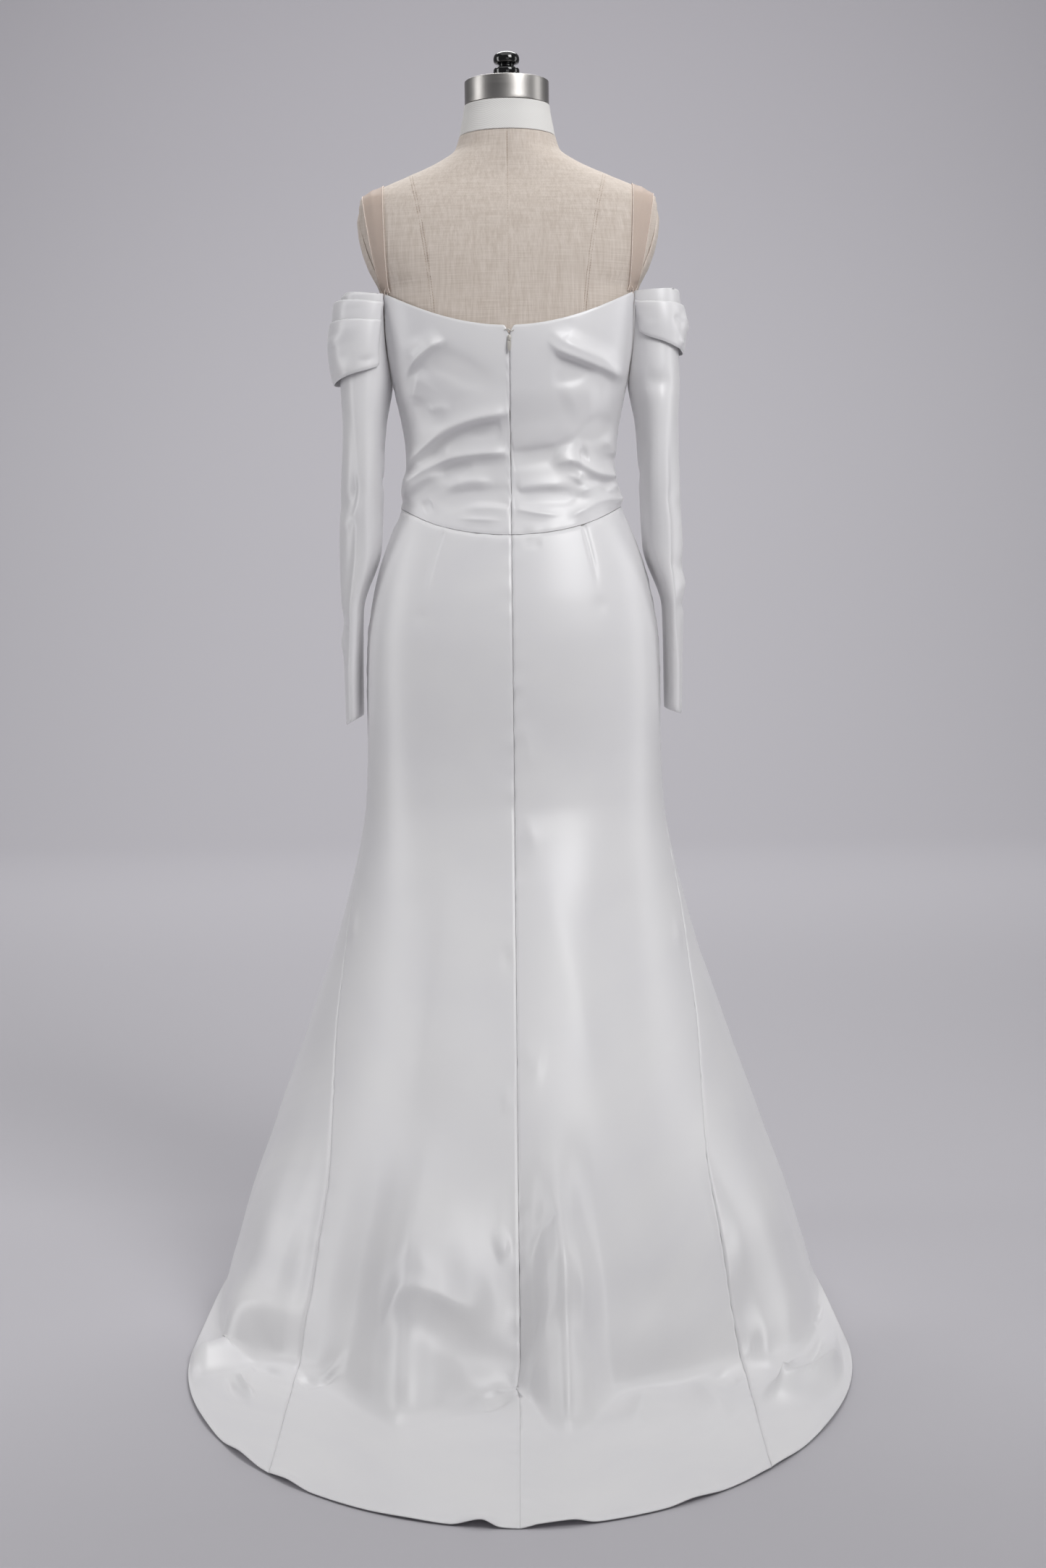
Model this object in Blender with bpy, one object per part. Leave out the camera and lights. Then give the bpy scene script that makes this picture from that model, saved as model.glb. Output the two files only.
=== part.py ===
"""A satin wedding dress with a sweep train, standing on a limbless linen dress form.

Metres, +Z up. The dress faces +Y, so its back, zip and train are on the -Y side, and +X is on the right of
somebody who stands behind it. The origin is the centre of the form's round foot, on the floor.
"""

import math
from collections import namedtuple

import bmesh
import bpy
import numpy as np

# Driving dimensions of the dress.
CLOTH = 0.0016
MESH_CLOTH = 0.0010
SEAM_GAP = 0.0003
NECKLINE_Z = 1.1935
NOTCH_Z = 1.1830
CORNER_Z = 1.2400
FRONT_NECKLINE_Z = 1.2280
UNDERARM_Z = 1.1310
WAIST_SEAM_BACK_Z = 0.9410
WAIST_SEAM_RISE = 0.0360
NOTCH_ANGLE = 4.0
CORNER_ANGLE = 69.7
SLEEVE_HEM_Z = 0.7120
HEM_LEVEL = -0.335

# The least height of the train's cloth above the floor, outside and inside.
FLOOR_OUTER_Z = CLOTH + 0.0003
FLOOR_INNER_Z = 0.0002

# Driving dimensions of the form.
FORM_CLEARANCE = 0.0022
WAIST_CLEARANCE = 0.0016
HIP_CLEARANCE = 0.0060
HIP_FROM_Z = 0.9500
WAIST_Z = 1.0330
CLEARANCE_FADE = 0.0800
FORM_BOTTOM_Z = 0.7500
NECK_BASE_Z = 1.4360
CAP_BOTTOM_Z = 1.4750
CAP_TOP_Z = 1.5050
CAP_RADIUS = 0.0525
PLATE_INSET = 0.0080
PLATE_CENTRE_Z = 1.2720
PLATE_HALF_HEIGHT = 0.0760
PLATE_HALF_DEPTH = 0.0350
PLATE_CENTRE_Y = -0.0020
PLATE_RIM = 0.0025
PLATE_DOME = 0.0050
PLATE_BLEND = 0.0120
STRAP_GAP = 0.0010
STRAP_END_LIFT = 0.0007
STRAP_INNER_X = 0.1450
STRAP_OUTER_X = 0.1540
STRAP_INNER_SPREAD = 0.0090
STRAP_OUTER_SPREAD = 0.0260
STRAP_FIRST_LEVEL = 1.346
NECK_CENTRE_Y = 0.0030
POLE_RADIUS = 0.0160
FOOT_RADIUS = 0.1500
FOOT_HEIGHT = 0.0180
FOOT_BEVEL = 0.0060
FOOT_HUB_HEIGHT = 0.0240
FOOT_HUB_RADIUS = 0.0300

# Driving dimensions of the zip.
TAPE_THICKNESS = 0.0005
TAPE_DRAW = 0.0045
SLIDER_Z = 1.1775
SLIDER_HALF_WIDTH = 0.0026
SLIDER_HALF_HEIGHT = 0.0042
SLIDER_THICKNESS = 0.0021
BRIDGE_HALF_WIDTH = 0.0009
BRIDGE_CLEARANCE = 0.0015
BRIDGE_REACH = 0.0030
BRIDGE_BAR = 0.0008
BRIDGE_SINK = 0.0005
PULL_THICKNESS = 0.0009
PULL_LENGTH = 0.0160
PULL_TOP_HALF = 0.0021
PULL_DROP_HALF = 0.0026
PULL_SLOT_HALF = 0.0013
PULL_SLOT_LENGTH = 0.0037
PULL_EYE_LENGTH = 0.0045
PULL_DROP_HEIGHT = 0.0046
HOOK_HALF = 0.0065
HOOK_RADIUS = 0.0008
HOOK_ABOVE_NOTCH = 0.0042

Ring = namedtuple("Ring", "level z_back z_front half y_mid y_back y_front power front_power")


def level_ring(z, half, y_mid, y_back, y_front, power):
    """A ring that lies level, so that its height is also its level."""
    return Ring(z, z, z, half, y_mid, y_back, y_front, power, power)


# The outer face of the cloth, as level sections from the hip to the neckline and then down the skirt.
STANDING_RINGS = [
    level_ring(1.262, 0.1665, 0.000, -0.096, 0.088, 2.40),
    level_ring(1.243, 0.1640, 0.000, -0.098, 0.092, 2.40),
    level_ring(1.185, 0.1579, 0.000, -0.102, 0.116, 2.35),
    level_ring(1.118, 0.1440, 0.000, -0.097, 0.122, 2.25),
    level_ring(1.072, 0.1349, 0.000, -0.087, 0.108, 2.20),
    level_ring(1.033, 0.1298, 0.000, -0.080, 0.096, 2.15),
    level_ring(1.000, 0.1350, 0.000, -0.082, 0.097, 2.15),
    level_ring(0.972, 0.1400, 0.000, -0.087, 0.101, 2.15),
    level_ring(0.947, 0.1512, 0.000, -0.094, 0.106, 2.20),
    level_ring(0.898, 0.1683, 0.000, -0.107, 0.113, 2.20),
    level_ring(0.855, 0.1778, 0.000, -0.117, 0.117, 2.20),
    level_ring(0.806, 0.1842, 0.000, -0.124, 0.120, 2.20),
    level_ring(0.744, 0.1856, 0.000, -0.128, 0.121, 2.20),
    level_ring(0.687, 0.1855, 0.000, -0.131, 0.121, 2.20),
    level_ring(0.614, 0.1879, 0.000, -0.143, 0.123, 2.20),
    level_ring(0.577, 0.1926, -0.002, -0.156, 0.126, 2.15),
    level_ring(0.534, 0.2013, -0.004, -0.175, 0.131, 2.15),
    level_ring(0.485, 0.2133, -0.008, -0.202, 0.138, 2.10),
    level_ring(0.420, 0.2300, -0.015, -0.243, 0.150, 2.10),
    level_ring(0.374, 0.2450, -0.022, -0.276, 0.161, 2.05),
    level_ring(0.300, 0.2690, -0.034, -0.335, 0.182, 2.00),
    level_ring(0.240, 0.2900, -0.045, -0.382, 0.203, 2.00),
    level_ring(0.184, 0.3080, -0.056, -0.425, 0.224, 2.00),
    level_ring(0.130, 0.3270, -0.068, -0.463, 0.245, 2.00),
]

# Below that the back meets the floor and runs out into the train while the front still comes down.
TRAIN_RINGS = [
    Ring(0.085, 0.0800, 0.1050, 0.3410, -0.078, -0.493, 0.257, 2.00, 2.05),
    Ring(0.040, 0.0400, 0.0820, 0.3530, -0.086, -0.513, 0.267, 2.00, 2.10),
    Ring(0.010, 0.0120, 0.0660, 0.3610, -0.095, -0.530, 0.274, 2.00, 2.20),
    Ring(-0.020, 0.0045, 0.0540, 0.3660, -0.110, -0.556, 0.279, 2.00, 2.30),
    Ring(-0.080, 0.0024, 0.0440, 0.3700, -0.145, -0.610, 0.284, 1.97, 2.40),
    Ring(-0.140, 0.0020, 0.0340, 0.3730, -0.190, -0.670, 0.289, 1.95, 2.50),
    Ring(-0.200, 0.0020, 0.0240, 0.3745, -0.235, -0.730, 0.294, 1.93, 2.55),
    Ring(-0.260, 0.0020, 0.0130, 0.3760, -0.280, -0.790, 0.299, 1.92, 2.60),
    Ring(-0.335, 0.0020, 0.0020, 0.3770, -0.325, -0.866, 0.303, 1.92, 2.60),
]
GARMENT_RINGS = sorted(STANDING_RINGS + TRAIN_RINGS, key=lambda ring: ring.level)

# The form's shoulders and neck, above the neckline.
SHOULDER_RINGS = [
    level_ring(1.243, 0.1600, 0.000, -0.0942, 0.0880, 2.40),
    level_ring(1.262, 0.1700, 0.000, -0.0925, 0.0850, 2.40),
    level_ring(1.285, 0.1800, 0.000, -0.0900, 0.081, 2.40),
    level_ring(1.307, 0.1870, 0.000, -0.0865, 0.077, 2.35),
    level_ring(1.330, 0.1915, 0.000, -0.0820, 0.073, 2.30),
    level_ring(1.346, 0.1925, 0.000, -0.0775, 0.067, 2.25),
    level_ring(1.357, 0.1880, 0.000, -0.0735, 0.062, 2.20),
    level_ring(1.366, 0.1750, 0.001, -0.0695, 0.060, 2.15),
    level_ring(1.378, 0.1490, 0.002, -0.0650, 0.059, 2.10),
    level_ring(1.389, 0.1225, 0.003, -0.0620, 0.060, 2.05),
    level_ring(1.406, 0.0860, 0.004, -0.0590, 0.061, 2.00),
    level_ring(1.420, 0.0660, 0.004, -0.0575, 0.063, 2.00),
    level_ring(1.436, 0.0602, 0.004, -0.0560, 0.062, 2.00),
]

SeamAngle = namedtuple("SeamAngle", "level degrees")
SIDE_SEAM = [
    SeamAngle(-0.335, 42.0),
    SeamAngle(0.000, 43.0),
    SeamAngle(0.184, 46.0),
    SeamAngle(0.374, 62.0),
    SeamAngle(0.534, 79.0),
    SeamAngle(0.700, 88.0),
    SeamAngle(1.000, 90.0),
]

# Pleats and folds of the bodice's back, each a line across it as seen from behind.
Pleat = namedtuple("Pleat", "x0 z0 x1 z1 height width")
BODICE_PLEATS = [
    Pleat(-0.133, 1.024, -0.060, 1.089, 0.0050, 0.0110),
    Pleat(-0.070, 1.084, -0.004, 1.094, 0.0045, 0.0110),
    Pleat(-0.128, 1.002, -0.062, 1.041, 0.0045, 0.0100),
    Pleat(-0.070, 1.038, -0.004, 1.044, 0.0040, 0.0100),
    Pleat(-0.127, 0.992, -0.078, 1.020, 0.0035, 0.0080),
    Pleat(-0.118, 1.142, -0.006, 1.128, 0.0025, 0.0140),
    Pleat(0.046, 1.183, 0.140, 1.124, 0.0045, 0.0120),
    Pleat(0.012, 1.038, 0.130, 1.085, 0.0035, 0.0140),
    Pleat(0.074, 1.027, 0.128, 1.021, 0.0030, 0.0100),
    Pleat(0.008, 0.985, 0.086, 0.983, 0.0025, 0.0100),
]

# How much further out than the plain rings the skirt's wall meets the floor. The far places, at -20 and at
# 8 degrees, are the tips of two cone-shaped flutes.
FootReach = namedtuple("FootReach", "degrees reach")
FOOT_REACH = [
    FootReach(-180.0, 0.000),
    FootReach(-84.0, 0.010),
    FootReach(-72.0, 0.050),
    FootReach(-62.0, 0.060),
    FootReach(-54.0, 0.030),
    FootReach(-47.0, -0.005),
    FootReach(-40.0, -0.010),
    FootReach(-32.0, 0.015),
    FootReach(-25.0, 0.066),
    FootReach(-20.5, 0.088),
    FootReach(-15.0, 0.062),
    FootReach(-9.0, 0.018),
    FootReach(-4.0, -0.014),
    FootReach(-0.5, -0.026),
    FootReach(2.5, 0.010),
    FootReach(5.5, 0.068),
    FootReach(8.0, 0.092),
    FootReach(10.5, 0.074),
    FootReach(14.0, 0.014),
    FootReach(17.0, -0.022),
    FootReach(22.0, -0.036),
    FootReach(30.0, -0.026),
    FootReach(37.0, -0.018),
    FootReach(43.0, 0.000),
    FootReach(50.0, 0.050),
    FootReach(58.0, 0.070),
    FootReach(68.0, 0.050),
    FootReach(80.0, 0.008),
    FootReach(180.0, 0.000),
]
FOOT_REACH_HEIGHT = 0.300

# Folds of the train where it breaks onto the floor, as lines in angle and level. Their widths are in degrees.
TrainFold = namedtuple("TrainFold", "angle0 level0 angle1 level1 height width")
TRAIN_FOLDS = [
    TrainFold(-43.0, 0.090, -61.0, -0.030, 0.0130, 8.0),
    TrainFold(-59.0, -0.010, -84.0, -0.300, 0.0130, 10.0),
    TrainFold(-5.0, 0.130, -24.0, 0.010, 0.0060, 3.5),
    TrainFold(0.0, 0.060, 1.0, -0.080, 0.0090, 3.0),
    TrainFold(23.0, 0.040, 19.5, -0.110, 0.0070, 3.5),
    TrainFold(31.0, 0.030, 37.5, -0.150, 0.0070, 3.5),
    TrainFold(47.0, -0.090, 74.0, -0.250, 0.0130, 9.0),
    TrainFold(-21.0, 0.560, -26.0, 0.250, 0.0040, 7.0),
    TrainFold(9.0, 0.560, 20.0, 0.300, 0.0030, 7.0),
    TrainFold(-100.0, 0.500, -96.0, -0.060, 0.0080, 8.0),
    TrainFold(102.0, 0.500, 98.0, -0.080, 0.0080, 8.0),
    TrainFold(-142.0, 0.560, -144.0, -0.120, 0.0100, 8.0),
    TrainFold(140.0, 0.540, 139.0, -0.140, 0.0100, 8.0),
    TrainFold(176.0, 0.500, 179.0, -0.140, 0.0060, 8.0),
]

# The hanging sleeve, as level sections. Distances in X are from the middle of the body.
SleeveRing = namedtuple("SleeveRing", "z x_outer x_inner half_depth y_mid")
SLEEVE_RINGS = [
    SleeveRing(1.245, 0.2070, 0.1530, 0.0480, 0.002),
    SleeveRing(1.190, 0.2110, 0.1535, 0.0530, 0.004),
    SleeveRing(1.131, 0.2130, 0.1515, 0.0580, 0.006),
    SleeveRing(1.080, 0.2110, 0.1575, 0.0610, 0.008),
    SleeveRing(1.000, 0.2120, 0.1615, 0.0630, 0.012),
    SleeveRing(0.927, 0.2150, 0.1655, 0.0620, 0.016),
    SleeveRing(0.849, 0.2140, 0.1900, 0.0600, 0.020),
    SleeveRing(0.780, 0.2150, 0.1915, 0.0580, 0.023),
    SleeveRing(0.712, 0.2140, 0.1920, 0.0560, 0.026),
]

# Turns of the sleeve, from the side towards the body, at which the armhole ends and the folded layers begin.
ARMHOLE_TURN = 62.0
LAYER_TURN = 60.0
SLEEVE_CENTRE_X = 0.185
SLEEVE_CENTRE_Y = 0.010
SLEEVE_TOP_RISE = 0.004
LAYER_TUCK = 0.45

# Folded layers that wrap the outside of each upper arm, from the back armhole edge round to the front one.
Layer = namedtuple("Layer", "name side z_top_edge z_top_outer z_low_edge z_low_outer base bulge")
DRAPE_LAYERS = [
    Layer("drape_left_1", -1, 1.2420, 1.2400, 1.2120, 1.2120, 0.0010, 0.0022),
    Layer("drape_left_2", -1, 1.2300, 1.2330, 1.1850, 1.1850, 0.0027, 0.0095),
    Layer("drape_left_3", -1, 1.2080, 1.2070, 1.1520, 1.1320, 0.0044, 0.0118),
    Layer("drape_right_1", 1, 1.2420, 1.2440, 1.2050, 1.2050, 0.0010, 0.0045),
    Layer("drape_right_2", 1, 1.2290, 1.2240, 1.1900, 1.1660, 0.0027, 0.0085),
]

Finish = namedtuple("Finish", "name colour roughness metallic")
SATIN = Finish("ivory_satin", (0.80, 0.79, 0.79), 0.38, 0.0)
NUDE_MESH = Finish("nude_mesh", (0.62, 0.54, 0.47), 0.80, 0.0)
LINEN = Finish("natural_linen", (0.56, 0.48, 0.40), 0.90, 0.0)
TWILL = Finish("white_twill", (0.78, 0.78, 0.78), 0.85, 0.0)
STEEL = Finish("brushed_steel", (0.62, 0.60, 0.58), 0.35, 1.0)
BLACK_WOOD = Finish("black_lacquer", (0.02, 0.02, 0.02), 0.20, 0.0)
ZIP_METAL = Finish("ivory_enamel", (0.75, 0.74, 0.72), 0.40, 0.3)
POLE_METAL = Finish("painted_steel", (0.12, 0.12, 0.12), 0.45, 0.6)


# How far pleats and folds stay from the zip and the side seams, and over what distance they rise.
PLEAT_FROM_ZIP = 0.013
PLEAT_FADE = 0.015
FOLD_FROM_SEAM = 2.5
FOLD_FADE = 4.0
DEGREES_PER_METRE = 100.0


def clear_scene():
    for item in list(bpy.data.objects):
        bpy.data.objects.remove(item, do_unlink=True)


def material_of(finish):
    found = bpy.data.materials.get(finish.name)
    if found:
        return found
    material = bpy.data.materials.new(finish.name)
    material.use_nodes = True
    shader = material.node_tree.nodes["Principled BSDF"]
    shader.inputs["Base Color"].default_value = (*finish.colour, 1.0)
    shader.inputs["Roughness"].default_value = finish.roughness
    shader.inputs["Metallic"].default_value = finish.metallic
    return material


def finish_object(name, mesh, finish, smooth=True):
    """Links a finished mesh as a named object, with its faces turned outwards."""
    work = bmesh.new()
    work.from_mesh(mesh)
    if work.calc_volume(signed=True) < 0:
        bmesh.ops.reverse_faces(work, faces=work.faces)
    work.to_mesh(mesh)
    work.free()
    mesh.materials.append(material_of(finish))
    if smooth:
        mesh.shade_smooth()
        mesh.set_sharp_from_angle(angle=math.radians(40))
    made = bpy.data.objects.new(name, mesh)
    bpy.context.scene.collection.objects.link(made)
    return made


def smooth_value(xs, ys, x):
    """A smooth curve through a table's points, which never passes beyond them."""
    xs, ys, x = (np.asarray(values, float) for values in (xs, ys, x))
    step = np.diff(xs)
    slope = np.diff(ys) / step
    product = slope[:-1] * slope[1:]
    total = np.where(product > 0, slope[:-1] + slope[1:], 1.0)
    inner = np.where(product > 0, 2 * product / total, 0.0)
    tangent = np.concatenate([slope[:1], inner, slope[-1:]])
    cell = np.clip(np.searchsorted(xs, x) - 1, 0, len(xs) - 2)
    t = np.clip((x - xs[cell]) / step[cell], 0.0, 1.0)
    start, end = ys[cell], ys[cell + 1]
    rise_start, rise_end = tangent[cell] * step[cell], tangent[cell + 1] * step[cell]
    cubic = (2 * t**3 - 3 * t**2 + 1) * start + (t**3 - 2 * t**2 + t) * rise_start
    return cubic + (3 * t**2 - 2 * t**3) * end + (t**3 - t**2) * rise_end


def column(table, level, name, key="level"):
    """One named column of a table, read at a level."""
    return smooth_value([getattr(row, key) for row in table], [getattr(row, name) for row in table], level)


def ring_point(angle, level, rings=GARMENT_RINGS, grow=0.0):
    """Points of the ring at a level. The angle is 0 at the centre back and turns towards +X."""
    sine, cosine = np.sin(angle), np.cos(angle)
    half, y_mid = column(rings, level, "half"), column(rings, level, "y_mid")
    back, front = y_mid - column(rings, level, "y_back"), column(rings, level, "y_front") - y_mid
    behind = cosine > 0
    exponent = 2 / np.where(behind, column(rings, level, "power"), column(rings, level, "front_power"))
    x = (half + grow) * np.sign(sine) * np.abs(sine) ** exponent
    y = y_mid - (np.where(behind, back, front) + grow) * np.sign(cosine) * np.abs(cosine) ** exponent
    z_back, z_front = column(rings, level, "z_back"), column(rings, level, "z_front")
    z = z_back + (z_front - z_back) * ((1 - cosine) / 2) ** 2
    return np.stack(np.broadcast_arrays(x, y, z), axis=-1)


def grid_normals(points, wrap):
    """Unit normals of a grid of points, turned away from the body's middle or upwards on the floor."""
    down = np.gradient(points, axis=0)
    if wrap:
        across = np.roll(points, -1, axis=1) - np.roll(points, 1, axis=1)
    else:
        across = np.gradient(points, axis=1)
    normal = np.cross(down, across)
    length = np.linalg.norm(normal, axis=-1, keepdims=True)
    return normal / np.maximum(length, 1e-12)


def drawn_in(points, top=0.0, bottom=0.0, left=0.0, right=0.0):
    """A copy of a grid whose stated edges are pulled in towards their neighbours."""
    moved = points.copy()
    for amount, edge, beside in (
        (top, np.s_[0], np.s_[1]),
        (bottom, np.s_[-1], np.s_[-2]),
        (left, np.s_[:, 0], np.s_[:, 1]),
        (right, np.s_[:, -1], np.s_[:, -2]),
    ):
        step = points[beside] - points[edge]
        moved[edge] += step / np.linalg.norm(step, axis=-1, keepdims=True) * amount
    return moved


def wall(name, outer, normals, thickness, finish, wrap=False):
    """A closed wall of cloth between a grid of outer points and the same points moved inwards."""
    rows, columns = outer.shape[:2]
    inner = outer - normals * thickness
    corners = np.concatenate([outer.reshape(-1, 3), inner.reshape(-1, 3)])
    back = rows * columns
    triangles = []

    def quad(a, b, c, d):
        triangles.extend([(a, b, c), (a, c, d)])

    last = columns if wrap else columns - 1
    for row in range(rows - 1):
        for place in range(last):
            a = row * columns + place
            b = row * columns + (place + 1) % columns
            c, d = b + columns, a + columns
            quad(a, b, c, d)
            quad(d + back, c + back, b + back, a + back)
    for place in range(last):
        beside = (place + 1) % columns
        quad(place + back, beside + back, beside, place)
        low, low_beside = back - columns + place, back - columns + beside
        quad(low + back, low, low_beside, low_beside + back)
    if not wrap:
        for row in range(rows - 1):
            a, d = row * columns, (row + 1) * columns
            quad(a + back, a, d, d + back)
            b, c = a + columns - 1, d + columns - 1
            quad(b + back, c + back, c, b)
    mesh = bpy.data.meshes.new(name)
    mesh.from_pydata(corners.tolist(), [], triangles)
    return finish_object(name, mesh, finish)


def ring_stack(name, rings, finish, smooth=True):
    """A closed solid through a list of rings of points, from the lowest to the highest."""
    sides = len(rings[0])
    points = [tuple(point) for ring in rings for point in ring]
    faces = []
    for row in range(len(rings) - 1):
        for place in range(sides):
            a = row * sides + place
            b = row * sides + (place + 1) % sides
            faces.append((a, b, b + sides, a + sides))
    faces.append(tuple(reversed(range(sides))))
    faces.append(tuple(range(len(points) - sides, len(points))))
    mesh = bpy.data.meshes.new(name)
    mesh.from_pydata(points, [], faces)
    return finish_object(name, mesh, finish, smooth)


def turned(name, profile, finish, sides=28, centre=(0.0, 0.0)):
    """A turned solid from (radius, height) pairs, from the lowest to the highest."""
    angles = np.linspace(0, 2 * math.pi, sides, endpoint=False)
    rings = [
        [(centre[0] + radius * math.sin(a), centre[1] - radius * math.cos(a), z) for a in angles]
        for radius, z in profile
    ]
    return ring_stack(name, rings, finish)


def column_angles():
    """Angles of the grid's columns over half the back, from the centre back to the side, in degrees."""
    across = np.linspace(NOTCH_ANGLE, CORNER_ANGLE, 8)
    armhole = np.linspace(CORNER_ANGLE, 90.0, 5)[1:]
    return np.concatenate([[0.0], across, armhole])


def full_angles():
    """Angles round the whole body, in degrees, from the front's middle by the left side to the right one."""
    half = column_angles()
    quarter = np.concatenate([half, 180.0 - half[::-1][1:]])
    quarter = quarter[(quarter < 175.0) | (quarter > 179.0)]
    return np.concatenate([-quarter[::-1][:-1], quarter[:-1]])


ANGLES = full_angles()
BACK_COLUMN = int(np.argmin(np.abs(ANGLES)))
LEFT_SIDE_COLUMN = int(np.argmin(np.abs(ANGLES + 90.0)))
RIGHT_SIDE_COLUMN = int(np.argmin(np.abs(ANGLES - 90.0)))


def waist_seam_z(angle):
    """Height of the waist seam, which dips at the centre back and centre front."""
    across = np.abs(np.sin(angle))
    return WAIST_SEAM_BACK_Z + WAIST_SEAM_RISE * across**1.9


def top_edge_z(angle):
    """Height of the bodice's top edge: the neckline, and the armholes at the sides."""
    degrees = np.abs(np.degrees(angle))
    from_side = np.abs(degrees - 90.0) / (90.0 - CORNER_ANGLE)
    armhole = UNDERARM_Z + (CORNER_Z - UNDERARM_Z) * np.minimum(from_side, 1.0) ** 2.2
    across = np.abs(np.sin(angle)) / math.sin(math.radians(CORNER_ANGLE))
    back = NECKLINE_Z + (CORNER_Z - NECKLINE_Z) * across**1.7
    back = np.where(degrees < 0.5 * NOTCH_ANGLE, NOTCH_Z, back)
    front = FRONT_NECKLINE_Z + (CORNER_Z - FRONT_NECKLINE_Z) * across**2.0
    neckline = np.where(degrees < 90.0, back, front)
    return np.where(from_side < 1.0, armhole, neckline)


def ridge(along, across, width):
    """A soft ridge that fades at both ends. along runs from 0 to 1."""
    inside = np.clip(along, 0.0, 1.0)
    ends = np.sin(math.pi * np.clip(0.15 + 0.7 * inside, 0, 1)) * (np.abs(along - inside) < 1e-9)
    return ends * np.exp(-((across / width) ** 2))


def line_place(u, v, u0, v0, u1, v1):
    """How far along a line each point lies, as a share of its length, and how far beside it."""
    du, dv = u1 - u0, v1 - v0
    squared = du * du + dv * dv
    along = ((u - u0) * du + (v - v0) * dv) / squared
    return along, ((v - v0) * du - (u - u0) * dv) / math.sqrt(squared)


def bodice_relief(points):
    """Height of the bodice's pleats above its plain surface, back only."""
    height = np.zeros(points.shape[:2])
    for pleat in BODICE_PLEATS:
        place = line_place(points[..., 0], points[..., 2], pleat.x0, pleat.z0, pleat.x1, pleat.z1)
        height = np.maximum(height, pleat.height * ridge(*place, pleat.width))
    beside_zip = np.clip((np.abs(points[..., 0]) - PLEAT_FROM_ZIP) / PLEAT_FADE, 0, 1)
    return height * beside_zip * (points[..., 1] < 0)


def train_relief(angle, level):
    """Height of the train's folds above its plain surface."""
    height = np.zeros(np.broadcast(angle, level).shape)
    for fold in TRAIN_FOLDS:
        u, v = np.degrees(angle), level * DEGREES_PER_METRE
        v0, v1 = fold.level0 * DEGREES_PER_METRE, fold.level1 * DEGREES_PER_METRE
        place = line_place(u, v, fold.angle0, v0, fold.angle1, v1)
        height = np.maximum(height, fold.height * ridge(*place, fold.width))
    from_seam = np.abs(np.abs(np.degrees(angle)) - column(SIDE_SEAM, level, "degrees"))
    return height * np.clip((from_seam - FOLD_FROM_SEAM) / FOLD_FADE, 0, 1)


def flatten_normals(normals, row):
    """Turns one row of normals level, so that two pieces which meet there stay apart."""
    normals[row, :, 2] = 0.0
    normals[row] /= np.linalg.norm(normals[row], axis=-1, keepdims=True)


def bodice_grid(rows=13):
    """Outer points and normals of the whole bodice. Its first row is the top edge."""
    angle = np.radians(ANGLES)[None, :]
    share = np.linspace(0.0, 1.0, rows)[:, None]
    top, seam = top_edge_z(angle), waist_seam_z(angle) + SEAM_GAP / 2
    level = top + (seam - top) * share
    points = ring_point(angle, level)
    normals = grid_normals(points, wrap=True)
    fade = np.minimum(1.0, 8.0 * share * (1 - share))
    points = points + normals * (bodice_relief(points) * fade)[..., None]
    normals = grid_normals(points, wrap=True)
    flatten_normals(normals, -1)
    return points, normals


def skirt_levels():
    """Levels of the skirt's rows at the centre back, from the waist seam to the hem."""
    hip = np.linspace(WAIST_SEAM_BACK_Z - SEAM_GAP / 2, 0.60, 8)
    knee = np.linspace(0.60, 0.12, 10)[1:]
    train = np.linspace(0.12, HEM_LEVEL, 14)[1:]
    return np.concatenate([hip, knee, train])


def skirt_angle(level):
    """The grid's angles at a level. Its columns follow the side seams, which swing to the back lower down."""
    seam = column(SIDE_SEAM, level, "degrees")[:, None]
    degrees = np.abs(ANGLES)[None, :]
    back = degrees / 90.0 * seam
    front = 180.0 - (180.0 - degrees) / 90.0 * (180.0 - seam)
    return np.radians(np.where(degrees <= 90.0, back, front) * np.sign(ANGLES)[None, :])


def skirt_grid():
    """Outer points and normals of the whole skirt. Its first row is the waist seam."""
    levels = skirt_levels()
    angle = skirt_angle(levels)
    fade = np.clip((levels - 0.80) / (levels[0] - 0.80), 0, 1)[:, None] ** 1.5
    level = levels[:, None] + (waist_seam_z(angle) - WAIST_SEAM_BACK_Z) * fade
    points = ring_point(angle, level)
    reach = column(FOOT_REACH, np.degrees(angle), "reach", "degrees")
    height_share = np.clip(1 - level / FOOT_REACH_HEIGHT, 0, 1)
    points[..., 2] = ring_point(angle, level + reach * height_share**2 * (3 - 2 * height_share))[..., 2]
    normals = grid_normals(points, wrap=True)
    points = points + normals * train_relief(angle, level)[..., None]
    points[..., 2] = np.maximum(points[..., 2], FLOOR_OUTER_Z)
    normals = grid_normals(points, wrap=True)
    flatten_normals(normals, 0)
    inside = points[..., 2] - normals[..., 2] * CLOTH
    to_floor = (points[..., 2] - FLOOR_INNER_Z) / CLOTH
    normals[..., 2] = np.where(inside < FLOOR_INNER_Z, to_floor, normals[..., 2])
    return points, normals


def columns_between(first, last):
    """Column numbers from one to another, round the body."""
    count = len(ANGLES)
    span = (last - first) % count
    return [(first + step) % count for step in range(span + 1)]


def cut_panels(prefix, grid, finish):
    """Left back, right back and front panels of one grid."""
    points, normals = grid
    half = SEAM_GAP / 2
    panels = {
        "back_left": columns_between(LEFT_SIDE_COLUMN, BACK_COLUMN),
        "back_right": columns_between(BACK_COLUMN, RIGHT_SIDE_COLUMN),
        "front": columns_between(RIGHT_SIDE_COLUMN, LEFT_SIDE_COLUMN),
    }
    for name, chosen in panels.items():
        outer = drawn_in(points[:, chosen], left=half, right=half)
        wall(f"{prefix}_{name}", outer, normals[:, chosen], CLOTH, finish)


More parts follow.
